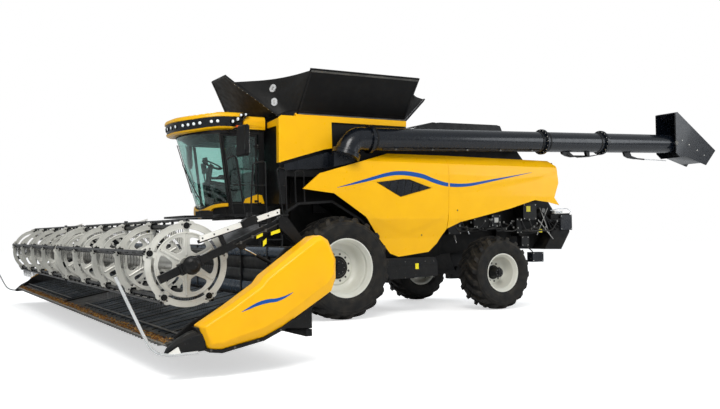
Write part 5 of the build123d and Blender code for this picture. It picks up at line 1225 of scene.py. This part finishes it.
# Steering column with its boot, wheel and hub.
inside.tube(line_of(((2.17, 0, 2.15), (2.165, 0, 2.40), (2.15, 0, 2.75), (2.12, 0, 3.02), (2.085, 0, 3.12))), 0.055,
            "console", sides=14)
inside.tube(line_of(((2.18, 0, 2.15), (2.175, 0, 2.30))), 0.085, "rubber", sides=14)
inside.box((2.09, 2.17), (-0.10, 0.10), (2.98, 3.08), "console")
hub, lean = at(2.065, 0, 3.15), Vector((-0.42, 0, 0.91)).normalized()


def on_wheel(radius, turn):
    """Point in the steering wheel's plane, at a turn in radians."""
    across = Vector((0, 1, 0))
    return hub + (across * math.cos(turn) + lean.cross(across) * math.sin(turn)) * radius


inside.tube([on_wheel(0.205, t * math.pi / 18) for t in range(36)], 0.015, "rubber", sides=8, closed=True)
for turn in (90, 210, 330):
    turn = math.radians(turn)
    inside.tube([hub - lean * 0.03, on_wheel(0.10, turn) - lean * 0.012, on_wheel(0.20, turn)], 0.012, "rubber",
                sides=8)
inside.rod(hub - lean * 0.05, hub + lean * 0.002, 0.045, "rubber", sides=18)
# Pedals, and the grab rail behind the side window.
inside.box((2.10, 2.24), (-0.30, -0.12), (2.16, 2.19), "rubber")
inside.box((2.10, 2.24), (0.12, 0.30), (2.16, 2.19), "rubber")
inside.tube(line_of(((1.36, -0.86, 3.10), (1.50, -0.88, 3.16), (1.80, -0.87, 3.16), (1.92, -0.86, 3.10))), 0.014,
            "console", sides=8)
inside.finish("cab_controls", "chassis", bevel=0.004, replaces=("cab_interior",))

# ---------------------------------------------------------------- reel

REEL = (4.600, 1.350)
DISC_PLACES = (0.156, 1.698, 3.240, 4.782, 6.324)
BAT_TURNS = [math.radians(90 + 72 * i) for i in range(5)]
BAT_RING, RAIL_RING, HALF_START, HALF_END = 0.49, 0.560, 0.096, 6.384


def reel_at(y):
    """Point on the reel's axis."""
    return at(REEL[0], y, REEL[1])


def spoke(turn):
    """Direction out from the reel's axis."""
    return Vector((math.cos(turn), 0, math.sin(turn)))


def softened(corners, steps=5):
    """Closed outline with its corners rounded; each corner is X, height and radius."""
    outline = []
    count = len(corners)
    for i, (x, z, radius) in enumerate(corners):
        here = Vector((x, z))
        before, after = Vector(corners[i - 1][:2]), Vector(corners[(i + 1) % count][:2])
        a, b = (before - here).normalized(), (after - here).normalized()
        reach = min(radius / max(0.05, math.tan(0.5 * a.angle(b))), 0.45 * (before - here).length,
                    0.45 * (after - here).length)
        start, end = here + a * reach, here + b * reach
        for k in range(steps + 1):
            t = k / steps
            outline.append(start * (1 - t) ** 2 + here * 2 * t * (1 - t) + end * t ** 2)
    return outline


def polar(radius, degrees):
    """Place in a wheel's own plane."""
    return radius * math.cos(math.radians(degrees)), radius * math.sin(math.radians(degrees))


def punched(outlines, thick, edge):
    """Flat plate of closed outlines, the inner ones cut out, as a mesh in X and Y, rounded at its edges."""
    data = bpy.data.curves.new("punched", "CURVE")
    data.dimensions, data.fill_mode = "2D", "BOTH"
    data.extrude, data.bevel_depth, data.bevel_resolution, data.offset = thick / 2 - edge, edge, 1, -edge
    for outline in outlines:
        spline = data.splines.new("POLY")
        spline.points.add(len(outline) - 1)
        spline.points.foreach_set("co", [c for p in outline for c in (p[0], p[1], 0, 1)])
        spline.use_cyclic_u = True
    thing = bpy.data.objects.new("punched", data)
    bpy.context.scene.collection.objects.link(thing)
    mesh = bpy.data.meshes.new_from_object(thing.evaluated_get(bpy.context.evaluated_depsgraph_get()))
    bpy.data.objects.remove(thing)
    bpy.data.curves.remove(data)
    return mesh


def upright(form, mesh, place, finish):
    """Copy a flat mesh in, stood up across the machine with its middle at a place."""
    number = form.number_of(finish)
    verts = [form.bm.verts.new(place + Vector((v.co.x, v.co.z, v.co.y))) for v in mesh.vertices]
    for polygon in mesh.polygons:
        form.bm.faces.new([verts[i] for i in reversed(polygon.vertices)]).material_index = number


wheel_outlines = [[polar(0.412, 4 * k) for k in range(90)]]
for k in range(6):
    wheel_outlines.append(softened([
        (*polar(0.352, 60 * k - 24), 0.045), (*polar(0.371, 60 * k), 0.4), (*polar(0.352, 60 * k + 24), 0.045),
        (*polar(0.185, 60 * k + 12), 0.035), (*polar(0.185, 60 * k - 12), 0.035)], 4))
wheel_outlines.append([polar(0.088, 15 * k) for k in range(24)])
ring_outline = []
for turn in range(0, 360, 2):
    off = abs((turn - 90 + 36) % 72 - 36)
    ring_outline.append(polar(0.530 + 0.026 * eased((12.5 - off) / 4.5), turn))
ring_outlines = [ring_outline, [polar(0.450, 4 * k) for k in range(90)]]
for turn in BAT_TURNS:
    ring_outlines.append([(BAT_RING * math.cos(turn) + 0.027 * math.cos(k * math.pi / 8),
                           BAT_RING * math.sin(turn) + 0.027 * math.sin(k * math.pi / 8)) for k in range(16)])
wheel_plate, ring_plate = punched(wheel_outlines, 0.022, 0.006), punched(ring_outlines, 0.014, 0.004)

discs_form = Form()
for side in (1, -1):
    for number, place in enumerate(DISC_PLACES):
        centre = reel_at(side * place)
        upright(discs_form, wheel_plate, centre, "ring_white")
        upright(discs_form, ring_plate, centre, "ring_white")
        for face in (1, -1):
            lift = Vector((0, face * 0.011, 0))
            for radius, thick, share in ((0.398, 0.009, 1), (0.455, 0.006, 0.7), (0.524, 0.005, 0.7)):
                discs_form.tube([centre + lift * share + spoke(t * math.pi / 24) * radius for t in range(48)], thick,
                                "ring_white", sides=5, closed=True)
            for k in range(6):
                out = spoke(math.radians(60 * k + 30))
                discs_form.tube([centre + lift * 0.6 + out * r for r in (0.12, 0.20, 0.30, 0.385)], 0.018,
                                "ring_white", sides=8)
                discs_form.bolt(centre + lift + out * 0.382, lift, 0.010, "steel_dark")
            for turn in BAT_TURNS:
                for shift, radius in ((-0.11, 0.505), (0.11, 0.505), (-0.055, 0.552), (0.055, 0.552)):
                    spot = spoke(turn + shift) * radius + Vector((0, face * 0.006, 0))
                    discs_form.bolt(centre + spot, lift, 0.009, "steel_dark")
                # Bearing block round the bat.
                bat = centre + spoke(turn) * BAT_RING
                discs_form.rod(bat + lift * 0.6, bat + lift * 2.3, 0.040, "black_satin", sides=16)
        # Tabs that carry the ring, and the cone on the reel's tube.
        for turn in BAT_TURNS:
            ring = []
            for depth in (-0.007, 0.007):
                for r, w in ((0.395, 0.040), (0.395, -0.040), (0.465, -0.030), (0.465, 0.030)):
                    ring.append(centre + spoke(turn) * r + spoke(turn + math.pi / 2) * w + Vector((0, depth, 0)))
            discs_form.faces(ring, 2, "ring_white")
        for face in (1, -1):
            # The outer faces of the first and last wheel have no cone.
            if (number, face) not in ((0, -1), (4, 1)):
                discs_form.lathe([(face * along, r) for along, r in ((0.010, 0.150), (0.035, 0.135), (0.11, 0.104),
                                                                     (0.13, 0.100), (0.13, 0.086))],
                                 centre, (0, side, 0), "steel", sides=32, caps=False)
    discs_form.rod(reel_at(side * HALF_START), reel_at(side * HALF_END), 0.085, "steel", sides=40)
    for end, way in ((HALF_START, -1), (HALF_END, 1)):
        discs_form.rod(reel_at(side * end), reel_at(side * (end + way * 0.038)), 0.0395, "steel", sides=24)
discs_form.finish("reel_discs", "reel", replaces=("reel_spider",), angle=math.radians(40))

bats = Form()
TINE_PITCH, TIE_PITCH = 0.0771, 0.385
for side in (1, -1):
    for turn in BAT_TURNS:
        x, z = REEL[0] + BAT_RING * math.cos(turn), REEL[1] + BAT_RING * math.sin(turn)
        bats.rod(at(x, side * (HALF_START + 0.01), z), at(x, side * (HALF_END - 0.01), z), 0.025, "bat_black", sides=14)
        # Second rail of the bat, over the lobes.
        outer_x, outer_z = REEL[0] + RAIL_RING * math.cos(turn), REEL[1] + RAIL_RING * math.sin(turn)
        bats.rod(at(outer_x, side * (HALF_START + 0.03), outer_z), at(outer_x, side * (HALF_END - 0.03), outer_z),
                 0.017, "bat_black", sides=10)
        for start, end in zip(DISC_PLACES, DISC_PLACES[1:]):
            low, high = start + 0.035, end - 0.035
            bats.box((x - 0.004, x + 0.004), (side * low, side * high), (z - 0.040, z - 0.010), "bat_black")
            count = int((high - low - 0.05) / TINE_PITCH)
            begin = (low + high) / 2 - count * TINE_PITCH / 2
            for k in range(count + 1):
                y = side * (begin + k * TINE_PITCH)
                wide = 0.005 if k % 2 else 0.0035
                bats.rod(at(x, y, z - 0.02), at(x + 0.004, y, z - 0.105), wide, "tine", sides=5)
                bats.rod(at(x + 0.004, y, z - 0.100), at(x - 0.010, y, z - 0.228), wide, "tine", sides=5, tip=0.002)
                if k % 2 == 0:
                    bats.rod(at(x, y - 0.016, z - 0.026), at(x, y + 0.016, z - 0.026), 0.014, "tine", sides=8)
        for place in DISC_PLACES[1:-1]:
            for way in (-0.034, 0.034):
                y = side * (place + way)
                bats.box((x - 0.045, x + 0.030), (y - 0.010, y + 0.010), (z - 0.035, z + 0.050), "bat_black")
        # Brackets that tie the rails together.
        dice = random.Random(round(turn * 10))
        y = HALF_START + 0.25
        while y < HALF_END - 0.1:
            bats.rod(at(x, side * y, z), at(outer_x, side * y, outer_z), 0.019, "bat_black", sides=8)
            if math.sin(turn) > 0.2 and dice.random() < 0.75:
                bats.box((outer_x - 0.05, outer_x + 0.012), (side * y - 0.055, side * y + 0.055),
                         (outer_z - 0.022, outer_z + 0.012), "bat_black")
            y += TIE_PITCH
bats.finish("reel_bat_rails", "reel", replaces=("reel_bats",))

ARM_Y = 6.48
for y, word in ((ARM_Y, "left"), (0.0, "middle"), (-ARM_Y, "right")):
    arm = Form()
    for x0, z0, x1, z1 in ((4.485, 1.668, 3.895, 1.858), (3.755, 1.902, 3.405, 2.012)):
        arm.prism([(x0, z0 - 0.034), (x0, z0 + 0.034), (x1, z1 + 0.034), (x1, z1 - 0.034)], "Y", y - 0.030, y + 0.030,
                  "white")
    for x, z in ((4.45, 1.679), (4.30, 1.727), (4.12, 1.785), (3.93, 1.847), (3.72, 1.912), (3.57, 1.960), (3.44, 2.0)):
        for face in (1, -1):
            arm.bolt(at(x, y + face * 0.030, z), (0, face, 0), 0.009, "steel_dark")
    arm.prism([(3.91, 1.80), (3.91, 1.90), (3.87, 1.925), (3.75, 1.965), (3.73, 1.93), (3.73, 1.86)], "Y", y - 0.052,
              y + 0.052, "black_satin")
    arm.box((3.79, 3.85), (y - 0.03, y + 0.03), (1.90, 2.0), "black_satin")
    # Hoses clipped along the arm.
    for shift in (0.0, 0.018):
        arm.tube([at(x, y + out + shift, z) for x, out, z in ((4.02, 0.036, 1.590), (3.85, 0.036, 1.665),
                                                              (3.60, 0.036, 1.775), (3.42, 0.040, 1.86))],
                 0.009, "rubber", sides=7)
    for x, z in ((3.96, 1.618), (3.80, 1.69), (3.62, 1.77)):
        arm.box((x - 0.015, x + 0.015), (y + 0.028, y + 0.066), (z - 0.02, z + 0.02), "steel_dark")
    # Blank plates.
    for x, z, w, h in ((3.70, 1.705, 0.085, 0.05), (3.48, 1.745, 0.13, 0.045), (3.63, 1.615, 0.05, 0.07)):
        arm.prism([(x - w / 2, z - h / 2 + 0.02), (x + w / 2, z - h / 2 - 0.02), (x + w / 2, z + h / 2 - 0.02),
                   (x - w / 2, z + h / 2 + 0.02)], "Y", y + 0.050, y + 0.054, "sticker")
    arm.finish(f"reel_arm_bar_{word}", "reel_arms", bevel=0.003, slot="divider_white")
for side, word in SIDES:
    hub = Form()
    hub.lathe([(side * along, r) for along, r in ((0, 0.115), (0.02, 0.118), (0.035, 0.105), (0.055, 0.098),
                                                  (0.065, 0.070), (0.080, 0.055), (0.085, 0.01))],
              reel_at(side * (ARM_Y + 0.052)), (0, 1, 0), "black_satin", sides=32)
    hub.bolt_ring(reel_at(side * (ARM_Y + 0.087)), (0, side, 0), 0.085, 6, 0.010, "steel_dark")
    hub.finish(f"reel_hub_{word}", "reel_carriers", bevel=0.002)

# ---------------------------------------------------------------- header

SHIELD = ((4.64, 0.64), (4.53, 0.36), (4.38, 0.34), (3.82, 0.45), (3.55, 0.57), (2.87, 0.98), (2.81, 1.14),
          (2.81, 1.39), (2.92, 1.64), (3.02, 1.70), (3.14, 1.68), (3.81, 1.21), (3.89, 1.11), (4.27, 0.86))
SHIELD_FACE = ((4.585, 0.635), (4.50, 0.425), (4.36, 0.435), (3.84, 0.580), (3.60, 0.695), (2.965, 1.095),
               (2.875, 1.20), (2.865, 1.38), (2.955, 1.595), (3.03, 1.645), (3.115, 1.63), (3.765, 1.175),
               (3.855, 1.075), (4.245, 0.825))
SWOOSH = ((4.13, 0.790, 0.004), (4.02, 0.848, 0.022), (3.90, 0.900, 0.034), (3.78, 0.925, 0.036), (3.67, 0.930, 0.032),
          (3.55, 0.958, 0.020), (3.45, 0.995, 0.004))
for side, word in SIDES:
    cover = Form()
    cover.faces([at(x, side * y, z) for outline, y in ((SHIELD, 6.701), (SHIELD, 6.925), (SHIELD_FACE, 6.998))
                 for x, z in outline], 3, "yellow_plastic")
    cover.finish(f"end_cover_{word}", "header", bevel=0.022, segments=4, replaces=("end_shields",),
                 angle=math.radians(40))
    mark = Form()
    points = []
    for x, top, width in flowing(SWOOSH, 6):
        for height, out in ((top, 6.9998), (top - 1.3 * width, 6.9998), (top - 1.3 * width, 6.995), (top, 6.995)):
            points.append(at(x, side * out, height))
    mark.faces(points, len(points) // 4, "blue")
    mark.finish(f"end_cover_stripe_{word}", "header", slot="shield_yellow")
    skid = Form()
    skid.prism([(4.60, 0.36), (4.52, 0.325), (4.36, 0.305), (3.82, 0.415), (3.55, 0.535), (3.40, 0.625), (3.42, 0.66),
                (3.56, 0.575), (3.82, 0.455), (4.37, 0.345), (4.53, 0.37)], "Y", side * 6.62, side * 6.95,
               "black_rough")
    skid.prism([(3.42, 0.625), (3.44, 0.585), (3.10, 0.80), (2.92, 0.92), (2.93, 0.955), (3.12, 0.84)], "Y",
               side * 6.64, side * 6.90, "black_rough")
    skid.prism([(4.66, 0.62), (4.60, 0.62), (4.50, 0.37), (4.56, 0.36)], "Y", side * 6.705, side * 6.90, "black_satin")
    for x, z in ((4.50, 0.355), (4.20, 0.365), (3.90, 0.425), (3.60, 0.535)):
        skid.bolt(at(x, side * 6.95, z - 0.005), (0, side, 0), 0.012, "steel_dark")
    skid.finish(f"end_skid_{word}", "header", bevel=0.006)
    # Divider: dark wedge, pale point, and the bent rod.
    wedge = Form()
    wedge.faces([at(x, side * (6.780 + share * half), z) for x, half, low, high in
                 ((4.56, 0.148, 0.350, 0.600), (4.72, 0.140, 0.335, 0.560), (4.88, 0.105, 0.322, 0.480),
                  (4.985, 0.060, 0.312, 0.390), (5.015, 0.030, 0.315, 0.345))
                 for share, z in ((-1, low), (1, low), (1, high * 0.93), (0.5, high), (-0.5, high),
                                  (-1, high * 0.93))], 5, "black_satin")
    wedge.finish(f"divider_body_{word}", "header", bevel=0.008, replaces=("dividers",), slot="frame_black")
    rod = Form()
    line = flowing([(4.66, 0.338), (4.95, 0.330), (5.10, 0.352), (5.20, 0.412), (5.27, 0.52), (5.38, 0.745),
                    (5.62, 1.258)], 6)
    rod.tube([at(x, side * 6.949, z) for x, z in line], 0.019, "rod_white", sides=10)
    rod.prism([(5.05, 0.330), (4.86, 0.322), (4.90, 0.420)], "Y", side * 6.935, side * 6.962, "white")
    rod.finish(f"divider_rod_{word}", "header", bevel=0.002, slot="divider_white")
    edge = Form()
    # Rail along the end plate's upper edge, and the pale seam behind the knife.
    edge.tube([at(x, side * 6.585, z) for x, z in ((3.20, 1.548), (3.35, 1.545), (3.90, 1.008), (4.64, 0.648),
                                                   (4.84, 0.482))], 0.014, "black_satin", sides=8)
    edge.box((4.70, 4.735), (side * 0.72, side * 6.55), (0.500, 0.508), "steel_dark")
    edge.finish(f"header_edge_{word}", "header")


def deck_height(x):
    """Height of the belts' upper face, which falls towards the knife."""
    return 0.800 - (x - 3.120) * 0.36 / 1.78


# The slats take a lighter bluish grey finish than the belt, a painted highlight that stands in for light along each
# slat.
deck = Form()
SLAT_PITCH = 0.12
for side in (1, -1):
    y = 0.80
    while y < 6.50:
        deck.faces([at(x, side * (y + shift), deck_height(x) + lift) for x in (3.15, 4.76)
                    for shift, lift in ((-0.010, -0.002), (-0.006, 0.008), (0.006, 0.008), (0.010, -0.002))], 2, "slat_painted_highlight")
        y += SLAT_PITCH
deck.finish("deck_slats", "header", slot="belt_rubber")

back = Form()
for side in (1, -1):
    # Rows with the beam finish are painted a lighter bluish grey, a painted reflection of the sky on the black back
    # sheet.
    for z0, z1, x, finish in ((1.40, 1.53, 3.118, "beam"), (1.215, 1.385, 3.100, "black_satin"),
                              (1.03, 1.20, 3.104, "beam_dark"), (0.84, 1.01, 3.112, "beam")):
        back.prism([(x - 0.006, z0), (x, z0 + 0.012), (x + 0.006, (z0 + z1) / 2), (x, z1 - 0.012), (x - 0.006, z1),
                    (x - 0.012, z1), (x - 0.012, z0)], "Y", side * 0.80, side * 6.56, finish)
    for k in range(6):
        y = side * (1.2 + k * 1.05)
        back.box((3.092, 3.128), (y - 0.020, y + 0.020), (0.84, 1.53), "black_satin")
        for z in (0.90, 1.10, 1.30, 1.48):
            back.bolt(at(3.128, y, z), (1, 0, 0), 0.011, "steel_dark")
back.finish("header_back_beams", "header", bevel=0.003, slot="frame_black")

knife = Form()
BLADE_PITCH, CLIP_PITCH = 0.0762, 0.1
for k in range(-86, 87):
    y = k * BLADE_PITCH
    knife.faces([at(x, y + half, z) for z in (0.4125, 0.4155)
                 for x, half in ((4.930, -0.036), (4.930, 0.036), (4.985, 0.006), (4.985, -0.006))], 2, "steel")
knife.box((4.80, 4.93), (-6.58, 6.58), (0.4125, 0.421), "steel_dark")
for k in range(-65, 66):
    y = k * CLIP_PITCH
    knife.box((4.835, 4.915), (y - 0.018, y + 0.018), (0.419, 0.431), "steel_dark")
    knife.bolt(at(4.86, y, 0.431), (0, 0, 1), 0.008, "steel")
knife.finish("knife_sections", "header", slot="reel_silver")

chaff = Form()
dice = random.Random(41)
for _ in range(2600):
    y = dice.uniform(-6.5, 6.5)
    x = 4.80 + 0.16 * dice.betavariate(2.2, 2.0)
    z = 0.424 + abs(dice.gauss(0, 0.012)) + (0.010 if x < 4.85 else 0)
    turn, tilt = dice.uniform(0, math.pi), dice.uniform(-0.5, 0.5)
    long, wide = dice.uniform(0.012, 0.050), dice.uniform(0.003, 0.009)
    along = Vector((math.cos(turn) * math.cos(tilt), math.sin(turn) * math.cos(tilt), math.sin(tilt)))
    start = at(x, y, z)
    chaff.rod(start, start + along * long, wide, "straw" if dice.random() < 0.6 else "straw_pale", sides=4,
              tip=wide * 0.6)
chaff.finish("knife_chaff", "header", slot="belt_rubber")

# ---------------------------------------------------------------- auger

RISE, AUGER_Y = math.radians(1.72), 1.79
ALONG = Vector((-math.cos(RISE), 0, math.sin(RISE)))


def auger_at(x, dy=0.0, dz=0.0):
    """Point by the tube's middle line, which rises towards the spout."""
    return at(x, AUGER_Y + dy, 3.600 - x * math.tan(RISE) + dz)


# Each flange's X, and which way its bolts face: 1 forwards.
for name, body, stations in (("auger_bolts", "auger", ((-0.640, 1), (-0.672, -1), (-5.174, 1), (-5.226, -1),
                                                       (-7.016, 1))),
                             ("auger_end_bolts", "auger_end", ((-7.104, -1),))):
    form = Form()
    for x, way in stations:
        form.bolt_ring(auger_at(x), -ALONG * way, 0.262, 16, 0.0125, "steel")
    if body == "auger":
        # Clamp bands beside the flanges, and the pipe clipped along the tube.
        for x in (-0.74, -5.09, -5.31, -6.90):
            form.lathe([(-0.02, 0.229), (-0.02, 0.238), (0.02, 0.238), (0.02, 0.229)], auger_at(x), ALONG,
                       "black_satin", sides=48, caps=False)
        for dy, dz in ((0.10, -0.222), (0.13, -0.207)):
            form.tube([auger_at(x, dy, dz) for x in (-0.9, -2.4, -3.9, -5.05)], 0.010, "rubber", sides=7)
        for x in (-1.2, -2.1, -3.0, -3.9, -4.8):
            form.box((x - 0.02, x + 0.02), (1.875, 1.94), (auger_at(x).z - 0.235, auger_at(x).z - 0.20), "steel_dark")
        # Folding gear below the tube.
        form.prism([(-5.79, 3.56), (-5.82, 3.50), (-5.93, 3.455), (-6.10, 3.43), (-6.20, 3.44), (-6.12, 3.50),
                    (-6.02, 3.56)], "Y", 1.76, 1.82, "black_satin")
        form.rod(at(-6.08, 1.735, 3.465), at(-6.62, 1.735, 3.478), 0.022, "black_satin", sides=14)
        form.rod(at(-6.60, 1.735, 3.478), at(-6.98, 1.735, 3.520), 0.010, "chrome", sides=10)
        form.tube(line_of(((-5.95, 1.84, 3.49), (-6.25, 1.84, 3.43), (-6.62, 1.84, 3.46), (-6.98, 1.84, 3.53))),
                  0.009, "rubber", sides=7)
        form.prism([(-6.66, 3.60), (-6.66, 3.47), (-6.58, 3.47), (-6.54, 3.60)], "Y", 1.75, 1.83, "black_satin")
    else:
        form.prism([(-7.80, 3.61), (-7.84, 3.52), (-7.96, 3.475), (-8.20, 3.455), (-8.24, 3.49), (-8.06, 3.53),
                    (-8.00, 3.63)], "Y", 1.76, 1.82, "black_satin")
        form.rod(at(-8.16, 1.79, 3.475), at(-8.52, 1.79, 3.462), 0.018, "black_satin", sides=14)
        form.rod(at(-8.50, 1.79, 3.462), at(-9.30, 1.79, 3.452), 0.009, "chrome", sides=10)
    form.finish(name, body, bevel=0.002)

ribs = Form()
# The hood's back falls along one direction; out is square to it, away from the grain.
fall = Vector((-1390, 0, -920)).normalized()
out = Vector((fall.z, 0, -fall.x))
for k in range(6):
    top = at(-9.400, AUGER_Y, 4.660) + fall * (0.26 + 0.225 * k)
    ribs.faces([top + fall * shift * 0.080 + out * height + Vector((0, y * 0.28, 0)) for y in (-1, 1)
                for shift, height in ((-0.5, -0.004), (-0.36, 0.016), (0.36, 0.016), (0.5, -0.004))], 2, "black_satin")
# Rolled lip round the mouth, and the pivot's caps.
for side in (1, -1):
    ribs.tube([at(-9.318, AUGER_Y + side * 0.302, z) for z in (3.66, 4.0, 4.35, 4.632)], 0.014, "black_satin", sides=8)
    ribs.rod(auger_at(-9.33, side * 0.31), auger_at(-9.33, side * 0.334), 0.055, "steel_dark", sides=20)
    for x, z in ((-9.55, 3.95), (-9.8, 3.85), (-10.1, 3.72), (-10.35, 3.60)):
        ribs.bolt(at(x, AUGER_Y + side * 0.31, z), (0, side, 0), 0.013, "steel")
ribs.tube([at(-9.33, y, 4.632) for y in (1.49, AUGER_Y, 2.09)], 0.014, "black_satin", sides=8)
ribs.finish("spout_ribs", "spout", bevel=0.004)

# ---------------------------------------------------------------- engine deck

deck_top = Form()
deck_top.prism([(-2.20, 3.99), (-2.30, 4.04), (-2.77, 4.165), (-3.18, 4.225), (-4.86, 4.25), (-4.92, 4.24),
                (-4.98, 4.12), (-4.94, 3.68), (-4.30, 3.93), (-2.22, 3.99)], "Y", -0.86, 0.66, "black_satin")
for k in range(13):
    x = -3.05 - 0.14 * k
    z = 4.222 - 0.015 * (x + 3.18)
    deck_top.box((x - 0.045, x + 0.045), (-0.80, 0.60), (z, z + 0.016), "black_rough")
for y in (-0.82, 0.63):
    deck_top.tube(line_of(((-2.3, y, 4.04), (-2.8, y, 4.17), (-3.2, y, 4.228), (-4.86, y, 4.252))), 0.012,
                  "black_satin", sides=8)
deck_top.finish("engine_deck_top", "chassis", bevel=0.012, segments=3)

# ---------------------------------------------------------------- rear and underside

works = Form()
dice = random.Random(17)
for side in (1, -1):
    # Short cylinders.
    for x0, z0, x1, z1 in ((-3.47, 1.84, -3.56, 1.66), (-3.14, 1.64, -3.20, 1.47)):
        top, low = at(x0, side * 1.2, z0), at(x1, side * 1.2, z1)
        works.rod(top, top + (low - top) * 0.6, 0.026, "steel_dark", sides=14)
        works.rod(top + (low - top) * 0.55, low, 0.013, "chrome", sides=12)
    # Boxes, plates and panels along the rear frame.
    for front, rear, low, high, depth, finish in (
        (-2.95, -3.30, 1.66, 1.98, 0.10, "black_satin"), (-3.62, -4.10, 1.80, 2.02, 0.13, "black_rough"),
        (-4.16, -4.42, 1.83, 2.10, 0.09, "black_satin"), (-4.86, -5.02, 1.66, 2.02, 0.12, "black_rough"),
        (-5.10, -5.50, 1.98, 2.36, 0.08, "black_satin"), (-5.31, -5.64, 0.99, 1.22, 0.14, "black_gloss"),
        (-6.27, -6.63, 1.73, 2.10, 0.06, "black_gloss"), (-5.02, -5.24, 1.36, 1.60, 0.10, "black_satin"),
    ):
        works.box((front, rear), (side * 1.10, side * (1.16 + depth)), (low, high), finish)
        for x in (front - 0.03, rear + 0.03):
            for z in (low + 0.03, high - 0.03):
                works.bolt(at(x, side * (1.16 + depth), z), (0, side, 0), 0.009, "steel")
    # Hoses.
    for k in range(15):
        x0 = -3.05 - 0.165 * k + dice.uniform(-0.05, 0.05)
        x1 = x0 - dice.uniform(0.25, 0.75)
        z0, z1 = dice.uniform(1.80, 2.02), dice.uniform(1.76, 2.0)
        dip = dice.uniform(0.02, 0.10)
        y = side * dice.uniform(1.17, 1.30)
        line = flowing([(x0, z0), (0.75 * x0 + 0.25 * x1, min(z0, z1) - dip),
                        (0.25 * x0 + 0.75 * x1, min(z0, z1) - dip), (x1, z1)], 4)
        works.tube([at(x, y, max(1.72, z)) for x, z in line], dice.choice((0.010, 0.013, 0.016)), "rubber", sides=7)
        for x, z in ((x0, z0), (x1, z1)):
            works.rod(at(x, y, z - 0.02), at(x, y, z + 0.02), 0.018, "steel", sides=8)
    # Long rods from the tail to the low box.
    for x0, z0, x1, z1 in ((-5.62, 2.26, -5.90, 1.66), (-5.56, 1.98, -6.02, 1.52), (-5.86, 2.26, -5.52, 1.62)):
        works.rod(at(x0, side * 1.22, z0), at(x1, side * 1.22, z1), 0.011, "steel", sides=8)
    works.tube([at(x, side * 1.24, z)
                for x, z in flowing([(-5.14, 1.6), (-5.2, 1.36), (-5.36, 1.22), (-5.3, 1.05)], 4)], 0.014,
               "rubber", sides=7)
    # Blank plates.
    works.box((-5.19, -5.31), (side * 1.238, side * 1.246), (2.17, 2.30), "sticker")
    works.box((-4.24, -4.35), (side * 1.248, side * 1.255), (1.92, 2.03), "white")
    works.box((-5.56, -5.66), (side * 1.236, side * 1.244), (1.68, 1.76), "sticker")
    works.box((-1.87, -1.95), (side * 1.562, side * 1.570), (0.94, 1.06), "sticker")
    for x in (-1.12, -1.62, -2.12, -2.34):
        for z in (0.76, 1.10):
            works.bolt(at(x, side * 1.562, z), (0, side, 0), 0.010, "steel_dark")
    works.box((-1.10, -2.36), (side * 1.556, side * 1.566), (1.015, 1.025), "black_rough")
    # Spreading fins under the tail.
    for k in range(7):
        turn = math.radians(20 + 13 * k)
        root = at(-5.72 - 0.03 * k, side * 1.12, 2.18 - 0.04 * k)
        tip = root + Vector((-math.sin(turn) * 0.46, 0, -math.cos(turn) * 0.52))
        across = Vector((0, side * 0.11, 0))
        edge = Vector((0.02, 0, 0.012))
        works.faces([root - edge, root + edge, root + edge + across, root - edge + across,
                     tip - edge * 0.5, tip + edge * 0.5, tip + edge * 0.5 + across, tip - edge * 0.5 + across], 2,
                    "black_satin")
    works.rod(at(-5.70, side * 1.04, 2.20), at(-5.70, side * 1.26, 2.20), 0.055, "steel_dark", sides=20)
    # Lamp and bracket over the rear box.
    works.tube(line_of(((-6.0, 1.16, 2.20), (-6.22, 1.18, 2.24), (-6.50, 1.18, 2.25), (-6.63, 1.18, 2.20),
                        (-6.60, 1.18, 2.14)), side), 0.009, "chrome", sides=8)
    works.box((-6.10, -6.36), (side * 1.10, side * 1.20), (2.13, 2.20), "white")
    works.box((-6.14, -6.32), (side * 1.20, side * 1.208), (2.145, 2.185), "chrome")
works.prism([(-5.10, 2.60), (-6.00, 2.44), (-6.22, 2.16), (-6.26, 1.74), (-5.10, 1.60)], "Y", -1.06, 1.06,
            "black_rough")
works.finish("rear_works", "chassis", bevel=0.004, slot="frame_black")

# Small box beside the cab's foot.
foot = Form()
foot.box((2.62, 2.86), (1.34, 1.66), (2.055, 2.155), "black_rough")
foot.box((2.66, 2.82), (1.40, 1.60), (2.155, 2.170), "black_satin")
foot.finish("foot_box", "chassis", bevel=0.008)
